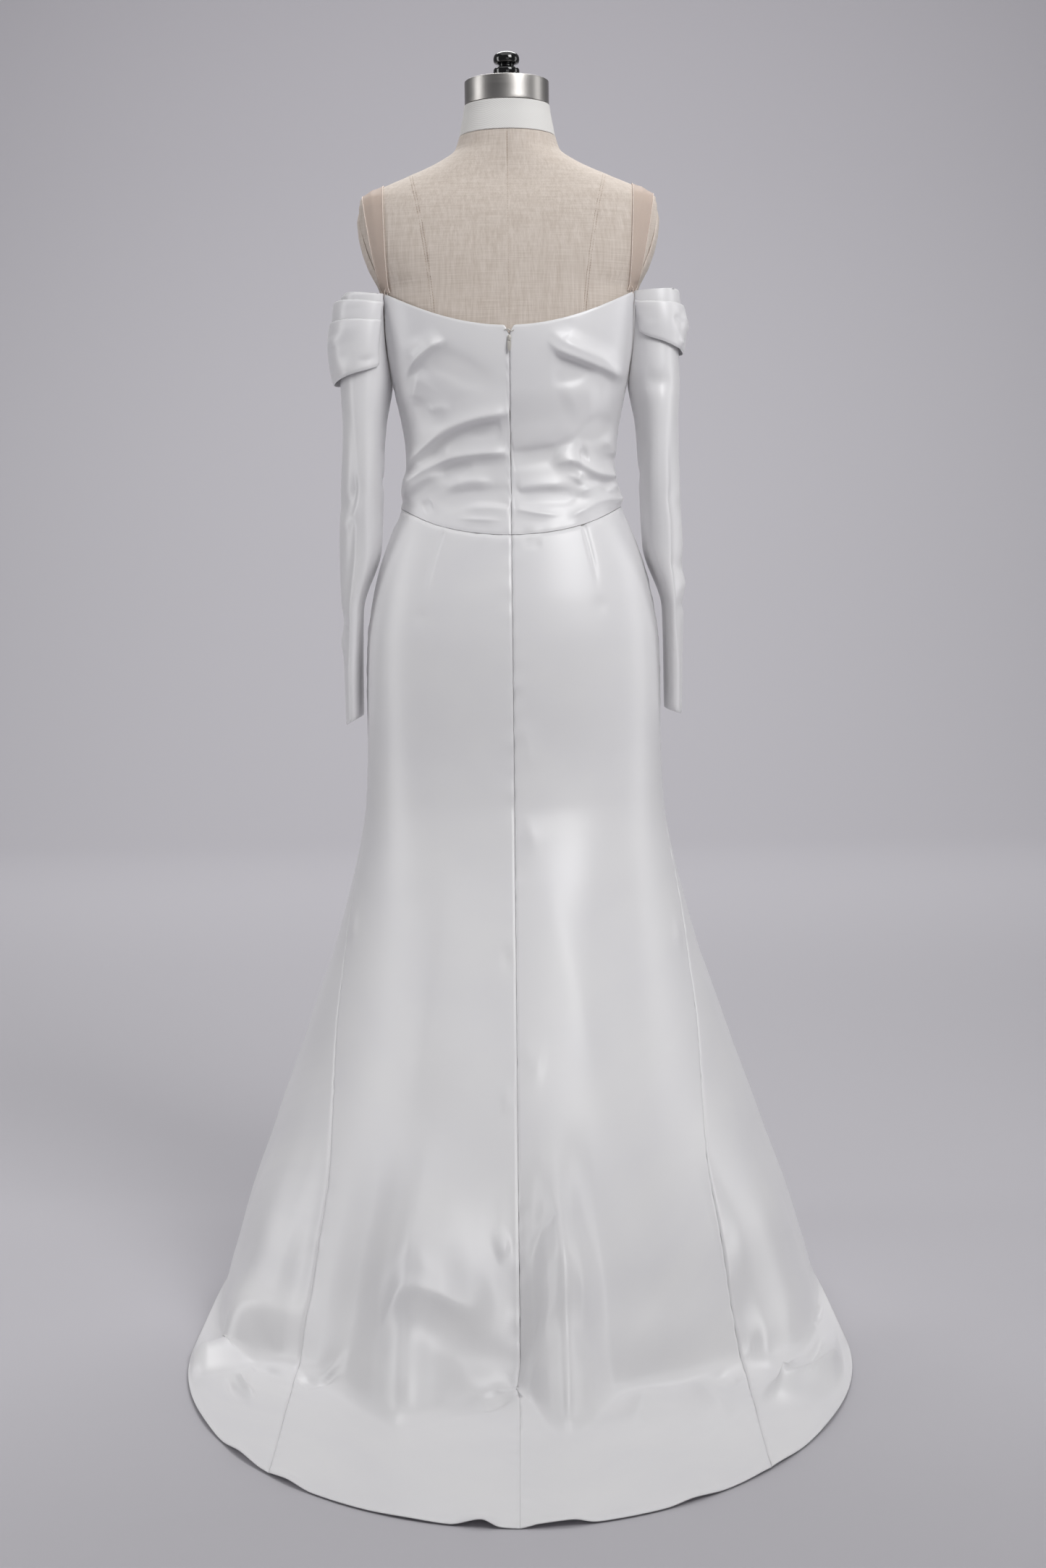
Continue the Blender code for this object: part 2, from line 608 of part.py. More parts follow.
def add_zip_tape(bodice, skirt):
    """The zip's tapes and chain, one strip behind the centre back seam, made from the panels' own points."""
    chosen = [BACK_COLUMN - 1, BACK_COLUMN, BACK_COLUMN + 1]
    points = np.concatenate([bodice[0][1:-1, chosen], skirt[0][1:5, chosen]])
    middle = np.concatenate([bodice[1][1:-1, BACK_COLUMN], skirt[1][1:5, BACK_COLUMN]])
    normals = np.repeat(middle[:, None, :], 3, axis=1)
    outer = drawn_in(points - normals * (CLOTH + 2 * SEAM_GAP), left=TAPE_DRAW, right=TAPE_DRAW)
    wall("zip_tape", outer, normals, TAPE_THICKNESS, SATIN)


def sleeve_frame(side, angle, z):
    """Points of the sleeve's level section. The angle is 0 towards the body and turns towards the back."""
    table = SLEEVE_RINGS[::-1]
    outer, inner = (column(table, z, name, "z") for name in ("x_outer", "x_inner"))
    depth, y_mid = (column(table, z, name, "z") for name in ("half_depth", "y_mid"))
    x = (outer + inner) / 2 - (outer - inner) / 2 * np.sign(np.cos(angle)) * np.abs(np.cos(angle)) ** 0.85
    y = y_mid - depth * np.sin(angle)
    return np.stack(np.broadcast_arrays(side * x, y, z), axis=-1)


def armhole_edge(side, angle):
    """The bodice's armhole edge, moved clear of its outer face, at a sleeve angle near the body."""
    turn = np.degrees(angle) / ARMHOLE_TURN
    turn = np.clip(turn, -1.0, 1.0)
    body = np.radians(90.0 - turn * (90.0 - CORNER_ANGLE))
    level = top_edge_z(body)
    return ring_point(side * body, level, grow=2 * SEAM_GAP)


def sleeve_point(side, angle, share):
    """Points of the sleeve's outer face. share is 0 at its top edge and 1 at its hem."""
    turn = np.minimum(np.abs(np.degrees(angle)) / ARMHOLE_TURN, 1.0)
    top = UNDERARM_Z + (CORNER_Z - UNDERARM_Z) * turn**2.2
    free = np.clip((np.abs(np.degrees(angle)) - ARMHOLE_TURN) / (180.0 - ARMHOLE_TURN), 0, 1)
    top = top + SLEEVE_TOP_RISE * np.sin(math.pi * free / 2)
    z = top + (SLEEVE_HEM_Z - top) * share
    hang = sleeve_frame(side, angle, z)
    miss = armhole_edge(side, angle) - sleeve_frame(side, angle, top)
    held = np.where(np.degrees(np.abs(angle)) <= ARMHOLE_TURN, 1.0, np.exp(-((free * 3.5) ** 2)))
    decay = np.clip(1 - share / 0.22, 0, 1) ** 2 * held
    return hang + miss * decay[..., None]


def sleeve_grid(side, rows=16, columns=18):
    angle = np.radians(np.arange(columns) * 360.0 / columns - 180.0)[None, :]
    share = np.linspace(0, 1, rows)[:, None] ** 1.15
    return sleeve_point(side, angle, share)


def outward(points, normals, middle):
    """Normals turned away from a middle line."""
    flip = np.sign(np.sum((points - middle) * normals, axis=-1, keepdims=True))
    return normals * np.where(flip == 0, 1.0, flip)


def sleeve_middle(side, points):
    """The point on the sleeve's own upright middle line at the height of each point."""
    return np.array([side * SLEEVE_CENTRE_X, SLEEVE_CENTRE_Y, 0.0]) + points * [0, 0, 1]


def add_sleeve(name, side):
    points = sleeve_grid(side)
    normals = outward(points, grid_normals(points, wrap=True), sleeve_middle(side, points))
    wall(name, points, normals, CLOTH, SATIN, wrap=True)


def add_drape_layer(layer, rows=4, columns=13):
    """One folded layer round the outside of an upper arm, made from the sleeve's own points, moved out."""
    angle = np.radians(np.linspace(LAYER_TURN, 360.0 - LAYER_TURN, columns))[None, :]
    turned_angle = np.where(angle > math.pi, angle - 2 * math.pi, angle)
    outside = np.sin((angle - angle[0, 0]) / (angle[0, -1] - angle[0, 0]) * math.pi)
    share = np.linspace(0, 1, rows)[:, None]
    top = layer.z_top_edge + (layer.z_top_outer - layer.z_top_edge) * outside
    low = layer.z_low_edge + (layer.z_low_outer - layer.z_low_edge) * outside
    z = top + (low - top) * share
    top_of_sleeve = sleeve_point(layer.side, turned_angle, np.zeros_like(turned_angle))[..., 2]
    along = np.maximum((top_of_sleeve - z) / (top_of_sleeve - SLEEVE_HEM_Z), 0.0)
    points = sleeve_point(layer.side, turned_angle + 0 * share, along)
    normals = outward(points, grid_normals(points, wrap=False), sleeve_middle(layer.side, points))
    rounding = (0.75 + 0.25 * np.cos(math.pi * (share - 0.35))) * (1 - LAYER_TUCK * share**4)
    swell = layer.base + layer.bulge * outside**0.7 * rounding
    outer = points + normals * (swell + CLOTH / 2)[..., None]
    wall(layer.name, outer, normals, CLOTH * 0.8, SATIN)


def form_rings():
    """The form's own rings, a little inside the dress up to the neckline."""
    rings = []
    for ring in STANDING_RINGS:
        if 0.70 < ring.level < 1.20:
            low = min(max((HIP_FROM_Z - ring.level) / CLEARANCE_FADE, 0.0), 1.0)
            waist = max(1.0 - abs(ring.level - WAIST_Z) / CLEARANCE_FADE, 0.0)
            shrink = CLOTH + FORM_CLEARANCE + WAIST_CLEARANCE * waist
            shrink += (HIP_CLEARANCE - FORM_CLEARANCE) * low
            rings.append(
                ring._replace(
                    half=ring.half - shrink, y_back=ring.y_back + shrink, y_front=ring.y_front - shrink
                )
            )
    return sorted(rings + SHOULDER_RINGS, key=lambda ring: ring.level)


FORM_RINGS = form_rings()


PLATE_MARGIN = 0.004
PLATE_LEVELS = PLATE_CENTRE_Z + (PLATE_HALF_HEIGHT + PLATE_MARGIN) * np.linspace(-1, 1, 9)
TORSO_HIP_LEVELS = [FORM_BOTTOM_Z, 0.80, 0.85, 0.90, 0.94, 0.97]
TORSO_WAIST_LEVELS = [0.99, 1.01, WAIST_Z, 1.055, 1.08, 1.11, 1.15, 1.18]
TORSO_NECK_LEVELS = [1.360, 1.369, 1.380, 1.392, 1.408, NECK_BASE_Z]


def plate_seat_x(z):
    """Distance from the middle of the flat side that each arm plate covers, straight from level to level."""
    return np.interp(z, PLATE_LEVELS, column(FORM_RINGS, PLATE_LEVELS, "half") - PLATE_INSET)


def form_surface(angle, z):
    """Points of the form's surface, cut flat at the sides where the arm plates sit."""
    points = ring_point(angle, z, FORM_RINGS)
    past_plate = np.abs(z - PLATE_CENTRE_Z) - PLATE_HALF_HEIGHT
    reach = 1 - np.clip((past_plate - PLATE_MARGIN) / PLATE_BLEND, 0, 1)
    limit = column(FORM_RINGS, z, "half") - PLATE_INSET * reach
    points[..., 0] = np.clip(points[..., 0], -limit, limit)
    return points


def add_torso():
    angle = np.radians(ANGLES)
    levels = np.concatenate([TORSO_HIP_LEVELS, TORSO_WAIST_LEVELS, PLATE_LEVELS, TORSO_NECK_LEVELS])
    rings = [form_surface(angle, z + 0 * angle) for z in levels]
    ring_stack("form_torso", rings, LINEN)


def add_arm_plate(name, side, columns=6):
    """An oval plate that closes the form's armhole, domed on its outside."""
    z = PLATE_LEVELS.copy()[:, None]
    z[0], z[-1] = PLATE_CENTRE_Z - PLATE_HALF_HEIGHT, PLATE_CENTRE_Z + PLATE_HALF_HEIGHT
    centre_turn = (z - PLATE_CENTRE_Z) / PLATE_HALF_HEIGHT
    half_depth = PLATE_HALF_DEPTH * np.sqrt(np.maximum(1 - (0.97 * centre_turn) ** 2, 0))
    share = np.linspace(-1, 1, columns)[None, :]
    y = PLATE_CENTRE_Y + half_depth * share
    x = plate_seat_x(z) + SEAM_GAP + 0 * y
    seat = np.stack(np.broadcast_arrays(side * x, y, z), axis=-1)
    dome = PLATE_RIM + PLATE_DOME * (1 - share**2) * (1 - centre_turn**2)
    out = np.array([side, 0.0, 0.0]) * dome[..., None]
    wall(name, seat + out, out, 1.0, LINEN)


def add_strap(name, side, rows=19, columns=5):
    """A strip of sheer mesh from the bodice's back corner over the shoulder to its front corner."""
    from_crest = np.linspace(-1.0, 1.0, rows)[:, None]
    turn = math.pi / 2 * (1 + np.sign(from_crest) * np.abs(from_crest) ** 1.5)
    share = np.linspace(0, 1, columns)[None, :]
    low_z = CORNER_Z + STRAP_GAP
    crest = np.sin(turn)
    inner_x = STRAP_INNER_X + STRAP_INNER_SPREAD * crest**0.5
    outer_x = STRAP_OUTER_X + STRAP_OUTER_SPREAD * crest**0.7
    x = inner_x + (outer_x - inner_x) * share
    shoulder = [ring for ring in FORM_RINGS if ring.level >= STRAP_FIRST_LEVEL]
    top = np.interp(-x, [-ring.half for ring in shoulder], [ring.level for ring in shoulder])
    z = low_z + (top - SEAM_GAP - low_z) * crest
    half = column(FORM_RINGS, z, "half")
    y_mid, y_back, y_front = (column(FORM_RINGS, z, key) for key in ("y_mid", "y_back", "y_front"))
    power = column(FORM_RINGS, z, "power")
    depth = np.maximum(1 - (x / half) ** power, 0.0) ** (1 / power)
    reach = np.where(turn < math.pi / 2, y_back - y_mid, y_front - y_mid)
    points = np.stack(np.broadcast_arrays(side * x, y_mid + reach * depth, z), axis=-1)
    middle = np.array([side * CAP_RADIUS, 0.0, CORNER_Z])
    normals = outward(points, grid_normals(points, wrap=False), middle)
    lift = STRAP_GAP + STRAP_END_LIFT * (1 - crest[..., None]) + MESH_CLOTH
    wall(name, points + normals * lift, normals, MESH_CLOTH, NUDE_MESH)


def add_form():
    add_torso()
    add_arm_plate("form_arm_plate_left", -1)
    add_arm_plate("form_arm_plate_right", 1)
    neck = (0.0, NECK_CENTRE_Y)
    band = [(0.0594, NECK_BASE_Z + SEAM_GAP), (0.0562, 1.455), (0.0532, CAP_BOTTOM_Z - SEAM_GAP)]
    turned("form_neck_band", band, TWILL, 32, neck)
    cap = [
        (CAP_RADIUS - 0.001, CAP_BOTTOM_Z),
        (CAP_RADIUS, CAP_BOTTOM_Z + 0.002),
        (CAP_RADIUS, CAP_TOP_Z - 0.003),
        (CAP_RADIUS - 0.003, CAP_TOP_Z),
    ]
    turned("form_neck_cap", cap, STEEL, 32, neck)
    base = CAP_TOP_Z + SEAM_GAP
    knob = [
        (0.0145, base),
        (0.0150, base + 0.004),
        (0.0162, base + 0.010),
        (0.0158, base + 0.0145),
        (0.0110, base + 0.0170),
        (0.0092, base + 0.0185),
        (0.0110, base + 0.0200),
        (0.0155, base + 0.0225),
        (0.0163, base + 0.0260),
        (0.0150, base + 0.0305),
        (0.0110, base + 0.0340),
        (0.0050, base + 0.0358),
    ]
    turned("form_knob", knob, BLACK_WOOD, 16, neck)
    pole = [(POLE_RADIUS, FOOT_HUB_HEIGHT + SEAM_GAP), (POLE_RADIUS, FORM_BOTTOM_Z - SEAM_GAP)]
    turned("form_pole", pole, POLE_METAL, 16)
    foot = [
        (FOOT_RADIUS, 0.0),
        (FOOT_RADIUS, FOOT_HEIGHT - FOOT_BEVEL),
        (FOOT_RADIUS - FOOT_BEVEL, FOOT_HEIGHT),
        (FOOT_HUB_RADIUS, FOOT_HUB_HEIGHT),
    ]
    turned("form_foot", foot, POLE_METAL, 32)


def boxed(name, low, high, finish):
    """A plain block between two corners."""
    mesh = bpy.data.meshes.new(name)
    work = bmesh.new()
    bmesh.ops.create_cube(work, size=1.0)
    size, centre = np.subtract(high, low), np.add(high, low) / 2
    for vert in work.verts:
        vert.co = [vert.co[axis] * size[axis] + centre[axis] for axis in range(3)]
    work.to_mesh(mesh)
    work.free()
    return finish_object(name, mesh, finish, smooth=False)


def extruded(name, outline, low_x, high_x, finish):
    """A solid from an outline of (y, z) points, extruded along X."""
    count = len(outline)
    points = [(low_x, y, z) for y, z in outline] + [(high_x, y, z) for y, z in outline]
    faces = [tuple(range(count)), tuple(reversed(range(count, 2 * count)))]
    faces += [(a + count, (a + 1) % count + count, (a + 1) % count, a) for a in range(count)]
    mesh = bpy.data.meshes.new(name)
    mesh.from_pydata(points, [], faces)
    return finish_object(name, mesh, finish, smooth=False)


def add_zip_slider():
    """The slider's body, and the bridge that holds the pull."""
    cloth_y = float(ring_point(np.array(0.0), np.array(SLIDER_Z))[1])
    seat_y = cloth_y - SEAM_GAP
    face_y = seat_y - SLIDER_THICKNESS
    body = boxed(
        "zip_slider",
        (-SLIDER_HALF_WIDTH, face_y, SLIDER_Z - SLIDER_HALF_HEIGHT),
        (SLIDER_HALF_WIDTH, seat_y, SLIDER_Z + SLIDER_HALF_HEIGHT),
        ZIP_METAL,
    )
    under, over = face_y - BRIDGE_CLEARANCE, face_y - BRIDGE_CLEARANCE - BRIDGE_BAR
    foot_y, shoulder_y = face_y + BRIDGE_SINK, over + BRIDGE_BAR / 2
    inner, outer, shoulder = BRIDGE_REACH - BRIDGE_BAR, BRIDGE_REACH, BRIDGE_REACH - BRIDGE_SINK
    arch = [
        (foot_y, -outer),
        (shoulder_y, -outer),
        (over, -shoulder),
        (over, shoulder),
        (shoulder_y, outer),
        (foot_y, outer),
        (foot_y, inner),
        (under, inner),
        (under, -inner),
        (foot_y, -inner),
    ]
    outline = [(y, SLIDER_Z + z) for y, z in arch]
    bridge = extruded("slider_bridge", outline, -BRIDGE_HALF_WIDTH, BRIDGE_HALF_WIDTH, ZIP_METAL)
    bridge.hide_render = True
    bridge.hide_set(True)
    bridge.display_type = "WIRE"
    union = body.modifiers.new("bridge", "BOOLEAN")
    union.operation = "UNION"
    union.solver = "EXACT"
    union.object = bridge
    return face_y - BRIDGE_CLEARANCE / 2


def add_zip_pull(axis_y):
    """A drop-shaped pull with a slot round the slider's bridge. Its origin is on its hinge axis."""
    half_bar = PULL_THICKNESS / 2
    slot = [
        (-PULL_SLOT_HALF, -half_bar),
        (PULL_SLOT_HALF, -half_bar),
        (PULL_SLOT_HALF, -PULL_SLOT_LENGTH),
        (-PULL_SLOT_HALF, -PULL_SLOT_LENGTH),
    ]
    rim = [
        (-PULL_TOP_HALF, half_bar),
        (PULL_TOP_HALF, half_bar),
        (PULL_TOP_HALF, -PULL_EYE_LENGTH),
        (-PULL_TOP_HALF, -PULL_EYE_LENGTH),
    ]
    round_z = -PULL_LENGTH + PULL_DROP_HEIGHT
    drop = []
    for turn in np.linspace(0.0, math.pi, 9):
        drop.append((PULL_DROP_HALF * math.cos(turn), round_z - PULL_DROP_HEIGHT * math.sin(turn)))
    work = bmesh.new()
    sheets = []
    for y in (-half_bar, half_bar):
        sheets.append(
            {
                "slot": [work.verts.new((x, y, z)) for x, z in slot],
                "rim": [work.verts.new((x, y, z)) for x, z in rim],
                "drop": [work.verts.new((x, y, z)) for x, z in drop],
            }
        )
    for sheet, turn in ((sheets[0], 1), (sheets[1], -1)):
        hole, rim_verts, low = sheet["slot"], sheet["rim"], sheet["drop"]
        for a in range(4):
            b = (a + 1) % 4
            work.faces.new([rim_verts[a], rim_verts[b], hole[b], hole[a]][::turn])
        work.faces.new(([rim_verts[3], rim_verts[2]] + low)[::turn])
    hole0, hole1 = sheets[0]["slot"], sheets[1]["slot"]
    for a in range(4):
        b = (a + 1) % 4
        work.faces.new([hole0[a], hole0[b], hole1[b], hole1[a]])
    edge0 = [sheets[0]["rim"][i] for i in (3, 0, 1, 2)] + sheets[0]["drop"]
    edge1 = [sheets[1]["rim"][i] for i in (3, 0, 1, 2)] + sheets[1]["drop"]
    for a in range(len(edge0)):
        b = (a + 1) % len(edge0)
        work.faces.new([edge0[b], edge0[a], edge1[a], edge1[b]])
    bmesh.ops.recalc_face_normals(work, faces=work.faces)
    mesh = bpy.data.meshes.new("zip_pull")
    work.to_mesh(mesh)
    work.free()
    pull = finish_object("zip_pull", mesh, ZIP_METAL, smooth=False)
    pull.location = (0.0, axis_y, SLIDER_Z)


def add_hook_and_eye():
    """A small closure bar across the notch at the top of the zip."""
    z = NOTCH_Z + HOOK_ABOVE_NOTCH
    y = float(ring_point(np.array(0.0), np.array(z))[1]) - HOOK_RADIUS - SEAM_GAP
    angles = np.linspace(0, 2 * math.pi, 8, endpoint=False)
    shank = HOOK_HALF - HOOK_RADIUS
    rings = []
    for x, share in ((-HOOK_HALF, 0.5), (-shank, 1.0), (shank, 1.0), (HOOK_HALF, 0.5)):
        radius = share * HOOK_RADIUS
        rings.append([(x, y + radius * math.cos(a), z + radius * math.sin(a)) for a in angles])
    ring_stack("hook_and_eye", rings, ZIP_METAL)


def add_dress():
    bodice = bodice_grid()
    skirt = skirt_grid()
    cut_panels("bodice", bodice, SATIN)
    cut_panels("skirt", skirt, SATIN)
    add_zip_tape(bodice, skirt)
    add_sleeve("sleeve_left", -1)
    add_sleeve("sleeve_right", 1)
    for layer in DRAPE_LAYERS:
        add_drape_layer(layer)
    add_strap("strap_left", -1)
    add_strap("strap_right", 1)
    add_zip_pull(add_zip_slider())
    add_hook_and_eye()


def main():
    clear_scene()
    add_form()
    add_dress()


if __name__ == "__main__":
    main()
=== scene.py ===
"""The looks of a satin wedding dress with a sweep train, on a limbless linen dress form.

Metres, +Z up. The back of the dress faces -Y, towards the camera, and +X is on the right as seen from behind.
"""

import logging
import math
from dataclasses import dataclass, field, replace
from enum import Enum

import bpy
import numpy as np
from mathutils import Matrix, Vector

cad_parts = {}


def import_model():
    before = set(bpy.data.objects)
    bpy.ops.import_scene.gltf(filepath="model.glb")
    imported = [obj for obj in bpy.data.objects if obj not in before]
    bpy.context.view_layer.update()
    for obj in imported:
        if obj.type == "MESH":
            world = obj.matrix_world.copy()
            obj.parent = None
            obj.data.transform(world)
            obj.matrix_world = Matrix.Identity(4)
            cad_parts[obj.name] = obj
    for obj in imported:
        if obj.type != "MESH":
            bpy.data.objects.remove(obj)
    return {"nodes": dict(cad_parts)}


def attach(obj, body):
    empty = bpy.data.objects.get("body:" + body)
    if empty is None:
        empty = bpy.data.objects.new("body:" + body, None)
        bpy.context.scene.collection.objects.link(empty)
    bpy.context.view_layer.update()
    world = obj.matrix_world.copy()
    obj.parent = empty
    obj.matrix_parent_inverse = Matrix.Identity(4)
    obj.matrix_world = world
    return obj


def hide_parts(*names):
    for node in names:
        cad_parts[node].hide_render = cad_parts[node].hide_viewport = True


LOG = logging.getLogger("wedding_dress")
Array = np.ndarray

# Sizes of the frame that the cloth follows.
FRAME_CLOTH = 0.0016
SEAM_GAP = 0.0003
NECKLINE_Z = 1.1935
NOTCH_Z = 1.1830
NOTCH_HALF = 0.0062
CORNER_Z = 1.2400
FRONT_NECKLINE_Z = 1.2280
UNDERARM_Z = 1.1310
WAIST_SEAM_BACK_Z = 0.9410
WAIST_SEAM_RISE = 0.0360
CORNER_ANGLE = 69.7
SLEEVE_HEM_Z = 0.7120
HEM_LEVEL = -0.335
ARMHOLE_TURN = 62.0
LAYER_TURN = 60.0

# The cloth itself.
SATIN_THICKNESS = 0.0011
NET_THICKNESS = 0.0006
SEAM_DRAW = 0.00035
ZIP_END_Z = 0.838


class Body(Enum):
    """The bodies that pieces ride on."""

    DRESS = "dress"
    PULL = "pull"


class Slot(Enum):
    """The record's material slots."""

    SATIN = "satin"
    TAPE = "tape"
    NUDE_MESH = "nude_mesh"
    LINEN = "linen"
    TWILL = "twill"
    STEEL = "steel"
    BLACK_WOOD = "black_wood"
    ZIP_METAL = "zip_metal"
    STAND_PAINT = "stand_paint"


class Edge(Enum):
    """The four edges of a sheet of cloth."""

    TOP = "top"
    BOTTOM = "bottom"
    LEFT = "left"
    RIGHT = "right"


@dataclass(frozen=True)
class Ring:
    """One level section of the body: its half width, depths and squareness."""

    level: float
    z_back: float
    z_front: float
    half: float
    y_mid: float
    y_back: float
    y_front: float
    power: float
    front_power: float


def level_ring(z: float, half: float, y_mid: float, y_back: float, y_front: float, power: float) -> Ring:
    """A ring that lies level, so that its height is also its level."""
    return Ring(z, z, z, half, y_mid, y_back, y_front, power, power)


STANDING_RINGS = [
    level_ring(1.262, 0.1665, 0.000, -0.096, 0.088, 2.40),
    level_ring(1.243, 0.1640, 0.000, -0.098, 0.092, 2.40),
    level_ring(1.185, 0.1579, 0.000, -0.102, 0.116, 2.35),
    level_ring(1.118, 0.1440, 0.000, -0.097, 0.122, 2.25),
    level_ring(1.072, 0.1349, 0.000, -0.087, 0.108, 2.20),
    level_ring(1.033, 0.1298, 0.000, -0.080, 0.096, 2.15),
    level_ring(1.000, 0.1350, 0.000, -0.082, 0.097, 2.15),
    level_ring(0.972, 0.1400, 0.000, -0.087, 0.101, 2.15),
    level_ring(0.947, 0.1512, 0.000, -0.094, 0.106, 2.20),
    level_ring(0.898, 0.1683, 0.000, -0.107, 0.113, 2.20),
    level_ring(0.855, 0.1778, 0.000, -0.117, 0.117, 2.20),
    level_ring(0.806, 0.1842, 0.000, -0.124, 0.120, 2.20),
    level_ring(0.744, 0.1856, 0.000, -0.128, 0.121, 2.20),
    level_ring(0.687, 0.1855, 0.000, -0.131, 0.121, 2.20),
    level_ring(0.614, 0.1879, 0.000, -0.143, 0.123, 2.20),
    level_ring(0.577, 0.1926, -0.002, -0.156, 0.126, 2.15),
    level_ring(0.534, 0.2013, -0.004, -0.175, 0.131, 2.15),
    level_ring(0.485, 0.2133, -0.008, -0.202, 0.138, 2.10),
    level_ring(0.420, 0.2300, -0.015, -0.243, 0.150, 2.10),
    level_ring(0.374, 0.2450, -0.022, -0.276, 0.161, 2.05),
    level_ring(0.300, 0.2690, -0.034, -0.335, 0.182, 2.00),
    level_ring(0.240, 0.2900, -0.045, -0.382, 0.203, 2.00),
    level_ring(0.184, 0.3080, -0.056, -0.425, 0.224, 2.00),
    level_ring(0.130, 0.3270, -0.068, -0.463, 0.245, 2.00),
]
TRAIN_RINGS = [
    Ring(0.085, 0.0800, 0.1050, 0.3410, -0.078, -0.493, 0.257, 2.00, 2.05),
    Ring(0.040, 0.0400, 0.0820, 0.3530, -0.086, -0.513, 0.267, 2.00, 2.10),
    Ring(0.010, 0.0120, 0.0660, 0.3610, -0.095, -0.530, 0.274, 2.00, 2.20),
    Ring(-0.020, 0.0045, 0.0540, 0.3660, -0.110, -0.556, 0.279, 2.00, 2.30),
    Ring(-0.080, 0.0024, 0.0440, 0.3700, -0.145, -0.610, 0.284, 1.97, 2.40),
    Ring(-0.140, 0.0020, 0.0340, 0.3730, -0.190, -0.670, 0.289, 1.95, 2.50),
    Ring(-0.200, 0.0020, 0.0240, 0.3745, -0.235, -0.730, 0.294, 1.93, 2.55),
    Ring(-0.260, 0.0020, 0.0130, 0.3760, -0.280, -0.790, 0.299, 1.92, 2.60),
    Ring(-0.335, 0.0020, 0.0020, 0.3770, -0.325, -0.866, 0.303, 1.92, 2.60),
]
SHOULDER_RINGS = [
    level_ring(1.243, 0.1600, 0.000, -0.0942, 0.0880, 2.40),
    level_ring(1.262, 0.1700, 0.000, -0.0925, 0.0850, 2.40),
    level_ring(1.285, 0.1800, 0.000, -0.0900, 0.081, 2.40),
    level_ring(1.307, 0.1870, 0.000, -0.0865, 0.077, 2.35),
    level_ring(1.330, 0.1915, 0.000, -0.0820, 0.073, 2.30),
    level_ring(1.346, 0.1925, 0.000, -0.0775, 0.067, 2.25),
    level_ring(1.357, 0.1880, 0.000, -0.0735, 0.062, 2.20),
    level_ring(1.366, 0.1750, 0.001, -0.0695, 0.060, 2.15),
    level_ring(1.378, 0.1490, 0.002, -0.0650, 0.059, 2.10),
    level_ring(1.389, 0.1225, 0.003, -0.0620, 0.060, 2.05),
    level_ring(1.406, 0.0860, 0.004, -0.0590, 0.061, 2.00),
    level_ring(1.420, 0.0660, 0.004, -0.0575, 0.063, 2.00),
    level_ring(1.436, 0.0602, 0.004, -0.0560, 0.062, 2.00),
]

# Where the side seams lie, in degrees from the centre back, at each level.
SIDE_SEAM = {-0.335: 42.0, 0.0: 43.0, 0.184: 46.0, 0.374: 62.0, 0.534: 79.0, 0.700: 88.0, 1.0: 90.0}


def smooth_value(xs: Array, ys: Array, x: Array) -> Array:
    """A smooth curve through a table's points, which never passes beyond them.

    Args:
        xs: The places, rising.
        ys: The values there.
        x: Where the curve is read.

    Returns:
        The value at each x.
    """
    xs, ys, x = (np.asarray(values, float) for values in (xs, ys, x))
    step = np.diff(xs)
    slope = np.diff(ys) / step
    product = slope[:-1] * slope[1:]
    total = np.where(product > 0, slope[:-1] + slope[1:], 1.0)
    inner = np.where(product > 0, 2 * product / total, 0.0)
    tangent = np.concatenate([slope[:1], inner, slope[-1:]])
    cell = np.clip(np.searchsorted(xs, x) - 1, 0, len(xs) - 2)
    t = np.clip((x - xs[cell]) / step[cell], 0.0, 1.0)
    start, end = ys[cell], ys[cell + 1]
    rise_start, rise_end = tangent[cell] * step[cell], tangent[cell + 1] * step[cell]
    cubic = (2 * t**3 - 3 * t**2 + 1) * start + (t**3 - 2 * t**2 + t) * rise_start
    return cubic + (3 * t**2 - 2 * t**3) * end + (t**3 - t**2) * rise_end


def smooth_step(value: Array) -> Array:
    """A soft step from 0 to 1 as the value goes from 0 to 1."""
    t = np.clip(value, 0.0, 1.0)
    return t * t * (3 - 2 * t)


def gathered_ends(count: int, pull: float) -> Array:
    """Shares from 0 to 1 that lie closer together near both ends."""
    share = np.linspace(0.0, 1.0, count)
    return share - pull * np.sin(2 * math.pi * share) / (2 * math.pi)


class Loft:
    """A surface through a stack of rings. The angle is 0 at the centre back and turns towards +X."""

    def __init__(self, rings: list[Ring]) -> None:
        """Keeps the rings from the lowest to the highest."""
        self.rings = sorted(rings, key=lambda ring: ring.level)
        self.levels = [ring.level for ring in self.rings]

    def at(self, name: str, level: Array) -> Array:
        """One named size of the rings, read at a level."""
        return smooth_value(self.levels, [getattr(ring, name) for ring in self.rings], level)

    def point(self, angle: Array, level: Array, grow: float = 0.0) -> Array:
        """Points of the ring at a level.

        Args:
            angle: Turn from the centre back, in radians.
            level: The ring's level.
            grow: How far the ring is moved out.

        Returns:
            Points, as the last axis of the array.
        """
        sine, cosine = np.sin(angle), np.cos(angle)
        half, y_mid = self.at("half", level), self.at("y_mid", level)
        back, front = y_mid - self.at("y_back", level), self.at("y_front", level) - y_mid
        behind = cosine > 0
        exponent = 2 / np.where(behind, self.at("power", level), self.at("front_power", level))
        x = (half + grow) * np.sign(sine) * np.abs(sine) ** exponent
        y = y_mid - (np.where(behind, back, front) + grow) * np.sign(cosine) * np.abs(cosine) ** exponent
        z_back, z_front = self.at("z_back", level), self.at("z_front", level)
        z = z_back + (z_front - z_back) * ((1 - cosine) / 2) ** 2
        return np.stack(np.broadcast_arrays(x, y, z), axis=-1)


GARMENT = Loft(STANDING_RINGS + TRAIN_RINGS)


